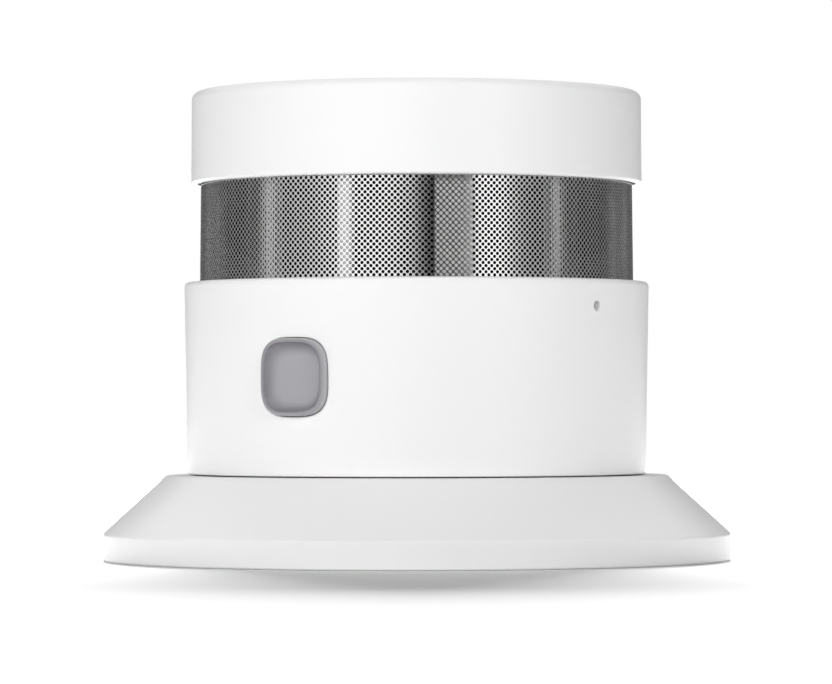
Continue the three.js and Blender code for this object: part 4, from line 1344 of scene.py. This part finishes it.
@dataclass
class InletScreen:
    """The perforated steel band: round holes in staggered rows through a thin sheet.

    Each hole stands in a diamond of sheet, and the diamonds of neighbouring rows meet edge to edge,
    so a diamond is one pitch wide and two rows high. Half diamonds finish the two straight edges.
    """

    layout: Layout
    outer_radius: float = 28.0
    taper: float = 0.15
    thickness: float = 0.2
    columns: int = 232
    pitch: float = 0.76
    hole_radius: float = 0.23
    hole_sides: int = 8
    halves: int = 2

    @property
    def span(self) -> float:
        """The band's height."""
        return self.layout.screen_top - self.layout.screen_bottom

    @property
    def row_pitch(self) -> float:
        """The height from one row of holes to the next."""
        return self.pitch / 2

    @property
    def rows(self) -> int:
        """How many rows of holes the band holds."""
        return int(self.span / self.row_pitch) - 1

    @property
    def margin(self) -> float:
        """The height of the plain border below and above the diamonds."""
        return (self.span - (self.rows + 1) * self.row_pitch) / 2

    def wrap(self, across: np.ndarray, up: np.ndarray, depth: np.ndarray | float) -> np.ndarray:
        """Rolls flat places into the band: bearing = across / columns of a turn.

        Args:
            across: Places along the band, in columns.
            up: Heights above the band's lower edge.
            depth: Distances in from the outer face.

        Returns:
            The points, with x, y, z last.
        """
        radius = self.outer_radius - self.taper * up / self.span - depth
        bearing = across * FULL_TURN / self.columns + math.pi
        height = up + self.layout.screen_bottom + 0 * radius
        return np.stack([radius * np.sin(bearing), -radius * np.cos(bearing), height], axis=-1)

    def strip(self, first: int, last: int) -> Surface:
        """Lays out the sheet between two columns.

        A hole is a ring of points about its middle, and its diamond has four tips, at half a
        column to each side and a row up and down. Each side of the ring has a triangle to the
        tip that it faces, and each pair of neighbouring tips one to the ring's point between.

        Args:
            first: The column that it starts at.
            last: The column before which it ends.

        Returns:
            The sheet's two faces, its holes' walls and its edges.
        """
        row, column = np.mgrid[0 : self.rows, first:last]
        across = (column + 0.5 * (row % 2)).ravel()[:, None]
        up = (self.margin + self.row_pitch * (row + 1)).ravel()[:, None]
        angle = (np.arange(self.hole_sides) + 0.5) * FULL_TURN / self.hole_sides
        hole_across = across + np.cos(angle) * self.hole_radius / self.pitch
        hole_up = up + np.sin(angle) * self.hole_radius
        tip_across = across + np.array([0.5, 0.0, -0.5, 0.0])
        tip_up = up + np.array([0.0, 1.0, 0.0, -1.0]) * self.row_pitch
        sides, tips = self.hole_sides, 4
        cell_across = np.concatenate([hole_across, tip_across], axis=1)
        cell_up = np.concatenate([hole_up, tip_up], axis=1)
        per_tip = sides // tips
        corner, tip = np.arange(sides), np.arange(tips)
        next_corner = (corner + 1) % sides
        faced = sides + ((corner + 1) // per_tip) % tips
        spokes = np.stack([faced, next_corner, corner], axis=1)
        between = (tip * per_tip + per_tip // 2) % sides
        joins = np.stack([sides + tip, sides + (tip + 1) % tips, between], axis=1)
        face = np.concatenate([spokes, joins])
        offsets = (np.arange(len(across)) * (sides + tips))[:, None, None]
        surface = Surface()
        outer = self.wrap(cell_across, cell_up, 0.0)
        inner = self.wrap(cell_across, cell_up, self.thickness)
        surface.add_triangles(outer, (face + offsets).reshape(-1, 3))
        surface.add_triangles(inner, (face[:, ::-1] + offsets).reshape(-1, 3))
        base = surface.add_points(np.concatenate([outer[:, :sides], inner[:, :sides]], axis=1))
        ring = base + (np.arange(len(across)) * 2 * sides)[:, None]
        a, b = ring + corner, ring + next_corner
        surface.quads.append(np.stack([a, a + sides, b + sides, b], axis=-1).reshape(-1, 4))
        self.add_edges(surface, first, last)
        return surface

    def add_edges(self, surface: Surface, first: int, last: int) -> None:
        """Adds the half diamonds and the rims of a strip's lower and upper border.

        Args:
            surface: Where they go.
            first: The column that the strip starts at.
            last: The column before which it ends.
        """
        column = np.arange(first, last)
        upper = self.margin + (self.rows + 1) * self.row_pitch
        for row, level, edge in ((0, self.margin, 0.0), (self.rows - 1, upper, self.span)):
            start = column + 0.5 * (row % 2)
            side = self.margin + self.row_pitch * (row + 1)
            for depth in (0.0, self.thickness):
                fill = self.wrap(
                    np.stack([start, start + 0.5, start + 1.0], axis=1),
                    np.stack([level + 0 * start, side + 0 * start, level + 0 * start], axis=1),
                    depth,
                )
                corners = np.arange(3 * len(column)).reshape(-1, 3)
                flip = (edge == 0.0) != (depth > 0)
                surface.add_triangles(fill, corners[:, ::-1] if flip else corners)
            line = np.arange(first, last + 1) + 0.5 * (row % 2)
            rim = np.stack([level + 0 * line, edge + 0 * line, edge + 0 * line, level + 0 * line])
            inward = np.array([0.0, 0.0, self.thickness, self.thickness])[:, None]
            grid = self.wrap(np.broadcast_to(line, rim.shape), rim, inward)
            surface.add_grid(grid if edge > 0 else grid[::-1])

    def build(self, finish: bpy.types.Material) -> None:
        """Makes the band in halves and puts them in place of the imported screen.

        Args:
            finish: The sheet's material.
        """
        bounds = np.linspace(0, self.columns, self.halves + 1).astype(int)
        for number, (first, last) in enumerate(zip(bounds, bounds[1:]), 1):
            strip = self.strip(int(first), int(last))
            piece = strip.to_object(f"inlet_screen_{number}", outward=False)
            place(piece, Body.HEAD, finish)
            if number == 1:
                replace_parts(piece, "mesh_screen")


@dataclass
class TopCap:
    """The plain white cap that snaps over the cage's ring."""

    layout: Layout
    draft: float = 0.07
    top_round: float = 1.0
    foot_round: float = 0.55
    roof: float = 1.8
    seat_radius: float = 28.3
    seat_depth: float = 1.3
    inner_radius: float = 27.5
    bead_level: float = 51.05
    bead: float = 0.5
    soft_edge: float = 0.3
    fine_edge: float = 0.1
    roof_fillet: float = 0.6
    steps: int = 8
    columns: int = 288

    def build(self, finish: bpy.types.Material) -> None:
        """Turns the cap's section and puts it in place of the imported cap.

        Args:
            finish: The cap's material.
        """
        foot, top = self.layout.cap_bottom, self.layout.cap_top
        radius, ceiling = self.layout.cap_radius, self.layout.cap_top - self.roof
        inner, bead, fine = self.inner_radius, self.bead, self.fine_edge
        outline = rounded(
            [
                (self.seat_radius, foot, fine),
                (radius, foot, self.foot_round),
                (radius - self.draft, top, self.top_round),
                (POLE, top, 0),
                (POLE, ceiling, 0),
                (inner, ceiling, self.roof_fillet),
                (inner, self.bead_level + 2 * bead, fine),
                (inner + bead, self.bead_level, self.soft_edge),
                (inner, self.bead_level - 2 * bead, fine),
                (inner, foot + self.seat_depth, 0),
                (self.seat_radius, foot + self.seat_depth, 0),
            ],
            self.steps,
        )
        surface = Surface()
        add_turned(surface, outline, self.columns)
        cap = place(surface.to_object("cap_shell"), Body.HEAD, finish)
        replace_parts(cap, "top_cap")


@dataclass
class TestButton:
    """The smoky test button: a dished rounded square that follows the housing's curve."""

    layout: Layout
    power: float = 3.34
    proud: float = 0.85
    narrowing: float = 0.965
    growth: float = 0.05
    edge_round: float = 0.3
    land: float = 0.22
    step: float = 0.12
    dish_depth: float = 1.15
    dish_floor: float = 0.6
    # moves the dish's middle right and down, so its wider left and top slopes carry more painted shade
    dish_shift: tuple[float, float] = (1.3, -0.6)
    flange_thickness: float = 1.0
    flange_gap: float = 0.3
    post_radius: float = 1.5
    post_tip: float = 23.56
    # painted shade on the dish's floor and on its lip, where 1 is the full shade colour
    floor_shade: float = 0.45
    lip_shade: float = 0.75
    columns: int = 96
    dish_rings: int = 28
    ring_crowding: float = 0.8
    edge_steps: int = 5

    def face_rings(self) -> np.ndarray:
        """Lists the face's rings from its middle out, over the dish, the lip and the edge.

        Returns:
            For each ring its half width, how far it lies behind the face's curve, how far its
            middle is shifted as a share of the dish's shift, and how much painted shade it carries.
            The dish rises as a parabola from its floor to its border, and the lip and the edge
            are quarter circles.
        """
        half = self.layout.button_half + self.growth
        land = half - self.edge_round
        border = land - self.land
        share = np.linspace(0, 1, self.dish_rings + 1) ** self.ring_crowding
        slope = np.clip((share - self.dish_floor) / (1 - self.dish_floor), 0, 1)
        # painted shade: darkest on the dish's slopes, lighter on its floor
        shade = self.floor_shade + (1 - self.floor_shade) * slope**2 * (3 - 2 * slope)
        depth = self.step + self.dish_depth * (1 - slope**2)
        dish = np.stack([border * share, depth, 1 - share, shade])
        turn = np.linspace(0, math.pi / 2, self.edge_steps + 1)
        far, near = 1 - np.cos(turn), 1 - np.sin(turn)
        still, lip_shade = 0 * turn, self.lip_shade + 0 * turn
        crest = np.stack([border + self.step * far, self.step * near, still, lip_shade])
        # the painted shade fades to none over the rounded edge, leaving the edge lighter than the dish
        fall = (1 - turn / turn[-1]) * self.lip_shade
        width = land + self.edge_round * np.sin(turn)
        edge = np.stack([width, self.edge_round * far, still, fall])
        return np.concatenate([dish, crest, edge], axis=1)

    def build(self, finish: bpy.types.Material) -> None:
        """Builds the button as rings from the middle of its face to its post's tip.

        The face lies on a cylinder round the axis: out = square root of (r^2 - across^2).

        Args:
            finish: The button's material.
        """
        bearing, height = self.layout.button_bearing, self.layout.button_height
        face = self.layout.wall().radius(height) + self.proud
        angle = full_circle(self.columns)
        half, behind, moved, shade = self.face_rings()[:, :, None]
        across, up = superellipse(angle, half, self.power)
        across, up = across + self.dish_shift[0] * moved, up + self.dish_shift[1] * moved
        out = np.sqrt(face**2 - across**2) - behind
        front = facing(bearing, across * self.narrowing, out, height + up)
        flange_half = self.layout.button_half + FLANGE_LIP
        inner = self.layout.wall(HOUSING_WALL).radius(height)
        flange_front = math.sqrt(inner**2 - flange_half**2) - self.flange_gap
        back = flange_front - self.flange_thickness
        rest = [
            (self.layout.button_half + self.growth, flange_front, self.power),
            (flange_half, flange_front, self.power),
            (flange_half, back, self.power),
            (self.post_radius, back, 2.0),
            (self.post_radius, self.post_tip, 2.0),
            (0.0, self.post_tip, 2.0),
        ]
        behind_wall = []
        for ring_half, distance, power in rest:
            side, rise = superellipse(angle, np.float64(ring_half), power)
            side, distance = side * self.narrowing, np.float64(distance)
            behind_wall.append(facing(bearing, side, distance, height + rise))
        surface = Surface()
        surface.add_grid(np.concatenate([front, np.stack(behind_wall)]), close_columns=True)
        # each ring's painted shade, and none on the parts behind the wall
        shades = np.repeat(np.concatenate([shade[:, 0], np.zeros(len(rest))]), len(angle))
        pad = surface.to_object("button_pad", values=(PAINTED_SHADE_ATTRIBUTE, shades))
        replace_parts(place(pad, Body.BUTTON, finish), "test_button")


@dataclass
class Internals:
    """The pieces inside the head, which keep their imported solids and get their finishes."""

    white_inner: Colour = grey(0.8)

    def finishes(self) -> dict[str, bpy.types.Material]:
        """Builds one finish for each of the record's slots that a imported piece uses.

        Returns:
            The materials, by the names of the slots.
        """
        nickel, brass = (0.63, 0.6, 0.54, 1.0), (0.58, 0.37, 0.12, 1.0)
        sleeve, red = (0.05, 0.07, 0.09, 1.0), (0.36, 0.02, 0.02, 1.0)
        resin = (0.55, 0.62, 0.72, 1.0)
        rows: tuple[Finish, ...] = (
            MouldedPlastic("white_inner", self.white_inner, roughness=0.5),
            MouldedPlastic("black_optic", grey(0.012), roughness=0.7, grain_depth=1.2e-5),
            RolledMetal("steel_screw", grey(0.52), roughness=0.34),
            RolledMetal("nickel_contact", nickel, roughness=0.22),
            RolledMetal("brass_disc", brass, roughness=0.34),
            PrintedBoard("circuit_board"),
            MouldedPlastic("black_component", grey(0.014), roughness=0.45, grain_depth=6e-6),
            CastResin("clear_lamp", resin),
            FiredCeramic("white_ceramic"),
            MouldedPlastic("cell_sleeve", sleeve, roughness=0.32, grain_size=1500.0),
            MouldedPlastic("red_wire", red, roughness=0.45),
        )
        return {row.name: row.build() for row in rows}

    def build(self) -> None:
        """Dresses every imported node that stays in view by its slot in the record."""
        finishes = self.finishes()
        slots = {row["node"]: row["material_slot"] for row in frame["record"]["subparts"]}
        for name, node in sorted(frame["nodes"].items()):
            if node.hide_render or slots[name] not in finishes:
                continue
            if not node.material_slots:
                node.data.materials.append(None)
            for material_slot in node.material_slots:
                material_slot.material = finishes[slots[name]]
            LOG.info("%s: %s", name, slots[name])


class Lights(Enum):
    """What a lamp lights: all but the floor, or only the floor."""

    OBJECT = "object"
    FLOOR = "floor"


@dataclass(frozen=True)
class SoftLamp:
    """A soft rectangular lamp that looks at the object and isn't mirrored in it.

    Its bearing and its rise above the floor are in degrees, its size and distance in metres and
    its power in watts, and it aims at a point of the axis, aim metres up. The object's shadow has
    a lamp of its own, which lights only the floor.
    """

    name: str
    size: tuple[float, float]
    watts: float
    bearing: float
    rise: float
    far: float = 0.85
    aim: float = 0.03
    lights: Lights = Lights.OBJECT

    def build(self, floor: bpy.types.Object) -> None:
        """Hangs the lamp.

        Args:
            floor: The floor, which the lamp leaves dark or alone lights.
        """
        data = bpy.data.lights.new(self.name, "AREA")
        data.shape = "RECTANGLE"
        data.size, data.size_y = self.size
        data.energy = self.watts
        lamp = bpy.data.objects.new(self.name, data)
        around, up = math.radians(self.bearing), math.radians(self.rise)
        lamp.location = (
            self.far * math.cos(up) * math.sin(around),
            -self.far * math.cos(up) * math.cos(around),
            self.aim + self.far * math.sin(up),
        )
        lamp.rotation_euler = (math.pi / 2 - up, 0.0, around)
        lamp.visible_camera = False
        lamp.visible_glossy = False
        bpy.context.scene.collection.objects.link(lamp)
        receivers = bpy.data.collections.new(f"{self.name}_receivers")
        receivers.objects.link(floor)
        lamp.light_linking.receiver_collection = receivers
        if self.lights is Lights.OBJECT:
            receivers.collection_objects[0].light_linking.link_state = "EXCLUDE"


# Brightness of the light tent at bearings in degrees
PANEL_STOPS = (
    (-180, 0.2),
    (-150, 0.22),
    (-92, 0.26),
    (-84, 0.5),
    (-54, 0.82),
    (-38, 1.3),
    (-16, 1.25),
    (-5, 0.95),
    (6, 0.05),
    (28.5, 0.07),
    (30.5, 1.45),
    (44, 1.4),
    (56, 0.55),
    (80, 0.3),
    (120, 0.2),
    (180, 0.2),
)

LAMPS = (
    SoftLamp("key_lamp", (0.3, 0.2), 1.32, -12.0, 15.0),
    SoftLamp("side_lamp", (0.4, 0.2), 2.0, -40.0, 22.0),
    SoftLamp("fill_lamp", (0.3, 0.2), 1.75, 33.0, 22.0),
    SoftLamp("back_lamp", (0.5, 0.5), 4.0, 180.0, 58.0, far=0.9),
    SoftLamp("shadow_lamp", (0.5, 0.36), 18.8, 180.0, 33.0, far=0.9, lights=Lights.FLOOR),
)


def background_rays(tree: NodeTree) -> bpy.types.NodeSocket:
    """Tells rays from the camera, a mirror or a clear piece, as 1, from rays that light, as 0.

    Args:
        tree: The tree that needs it.

    Returns:
        The output that tells them.
    """
    path = tree.add("ShaderNodeLightPath").outputs
    mirrored = tree.combine("MAXIMUM", path["Is Camera Ray"], path["Is Glossy Ray"])
    return tree.combine("MAXIMUM", mirrored, path["Is Transmission Ray"])


@dataclass
class Studio:
    """The floor, the soft light, the card that the steel mirrors, and the camera, in metres.

    The floor glows a little for the camera and for mirrors, more so far away, and shows white
    wherever the object's shadow doesn't fall.
    """

    eye_distance: float = 0.5943
    eye_height: float = 0.0199
    eye_side: float = -0.0001
    tilt: float = math.radians(0.797)
    roll: float = math.radians(0.08)
    lens: float = 198.8
    tent_radius: float = 0.95
    tent_low: float = -0.001
    tent_high: float = 0.45
    tent_columns: int = 96
    ambient: float = 0.03
    panel_scale: float = 2.0
    floor_level: float = 0.85
    floor_seen: float = 0.97
    floor_glow: float = 0.26
    glow_near: float = 0.16
    glow_far: float = 0.6
    far_glow: float = 0.42
    floor_reach: float = 0.65
    floor_drop: float = 2e-5
    paper_depth: float = 1e-5

    def camera(self) -> None:
        """Places the camera where the photograph was taken from."""
        data = bpy.data.cameras.new("camera")
        data.lens = self.lens
        data.sensor_width = 36.0
        data.clip_start = 0.01
        camera = bpy.data.objects.new("camera", data)
        camera.location = (self.eye_side, -self.eye_distance, self.eye_height)
        camera.rotation_euler = (math.pi / 2 + self.tilt, self.roll, 0.0)
        bpy.context.scene.collection.objects.link(camera)
        bpy.context.scene.camera = camera

    def floor(self) -> bpy.types.Object:
        """Lays a pale floor that shows white wherever the object's shadow doesn't fall.

        Returns:
            The floor.
        """
        surface = Surface()
        line = np.array([-self.floor_reach, self.floor_reach]) / MM
        corners = np.broadcast_arrays(line[None, :], line[:, None], -self.floor_drop / MM)
        surface.add_grid(np.stack(corners, axis=-1))
        floor = surface.to_object("floor", outward=False)
        constants = {"Specular_IOR_Level": 0.0, "Emission_Color": grey(1.0)}
        recipe = Recipe("floor_paper", Roughness=0.9, **constants)
        seen = background_rays(recipe)
        tone = recipe.mix(seen, grey(self.floor_level), grey(self.floor_seen))
        recipe.feed("Base Color", tone)
        place_of = recipe.add("ShaderNodeTexCoord").outputs["Object"]
        away = recipe.add("ShaderNodeVectorMath", {"operation": "LENGTH"}, i0=place_of)
        level = recipe.add(
            "ShaderNodeMapRange",
            {"interpolation_type": "SMOOTHSTEP"},
            Value=away.outputs["Value"],
            From_Min=self.glow_near,
            From_Max=self.glow_far,
            To_Min=self.floor_glow,
            To_Max=self.far_glow,
        )
        glow = recipe.combine("MULTIPLY", seen, level.outputs["Result"])
        recipe.feed("Emission Strength", glow)
        recipe.bump(recipe.group(GRAIN, Size=900.0), self.paper_depth)
        floor.data.materials.append(recipe.material)
        return floor

    def tent(self) -> None:
        """Stands a round card about the object whose brightness changes with the bearing.

        It holds the two soft panels that light the object from the left and the right of the
        camera, the dark gap between them, and darker sides. The camera doesn't see it.
        """
        surface = Surface()
        outline = np.array([(self.tent_radius, z) for z in (self.tent_low, self.tent_high)]) / MM
        surface.add_grid(turned(outline, full_circle(self.tent_columns)), close_columns=True)
        card = surface.to_object("light_tent", outward=False)
        material = bpy.data.materials.new("light_tent")
        material.use_nodes = True
        tree = NodeTree(material.node_tree)
        tree.nodes.clear()
        place_of = tree.add("ShaderNodeTexCoord").outputs["Object"]
        axes = tree.add("ShaderNodeSeparateXYZ", Vector=place_of).outputs
        front = tree.combine("MULTIPLY", axes["Y"], -1.0)
        bearing = tree.combine("ARCTAN2", axes["X"], front)
        share = tree.stretch(bearing, 0.0, 1.0, -math.pi, math.pi)
        ramp = tree.add("ShaderNodeValToRGB", Fac=share)
        stops = ramp.color_ramp
        stops.interpolation = "LINEAR"
        while len(stops.elements) < len(PANEL_STOPS):
            stops.elements.new(0.5)
        for element, (degrees, level) in zip(stops.elements, PANEL_STOPS):
            element.position = 0.5 + degrees / 360
            element.color = grey(level / self.panel_scale)
        glow = tree.add(
            "ShaderNodeEmission", Color=ramp.outputs["Color"], Strength=self.panel_scale
        )
        tree.add("ShaderNodeOutputMaterial", Surface=glow.outputs[0])
        card.data.materials.append(material)
        card.visible_camera = False
        card.visible_shadow = False

    def world(self) -> None:
        """Makes the surroundings white to the camera and to mirrors, and a soft grey as light."""
        world = bpy.data.worlds.new("studio")
        bpy.context.scene.world = world
        world.use_nodes = True
        tree = NodeTree(world.node_tree)
        tree.nodes.clear()
        level = tree.stretch(background_rays(tree), self.ambient, 1.0, 0.0, 1.0)
        background = tree.add("ShaderNodeBackground", Color=grey(1.0), Strength=level)
        tree.add("ShaderNodeOutputWorld", Surface=background.outputs[0])

    def build(self) -> None:
        """Sets the whole stage."""
        bpy.context.scene.view_settings.view_transform = "Standard"
        self.camera()
        floor = self.floor()
        self.tent()
        self.world()
        for lamp in LAMPS:
            lamp.build(floor)


def main() -> None:
    """Builds the pieces in order and sets the stage round them."""
    logging.basicConfig(level=logging.INFO, format="%(name)s: %(message)s")
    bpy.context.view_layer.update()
    layout = Layout.from_frame()
    shell = MouldedPlastic("white_shell", grey(0.87), roughness=0.3, index=1.46).build()
    steel = RolledMetal("steel_screen", grey(0.82), roughness=0.14, spread=0.05).build()
    lens = SmokedLens("grey_button").build()
    MountingBase(layout).build(shell)
    HeadHousing(layout).build(shell)
    InletScreen(layout).build(steel)
    TopCap(layout).build(shell)
    TestButton(layout).build(lens)
    Internals().build()
    Studio().build()


if __name__ == "__main__":
    main()
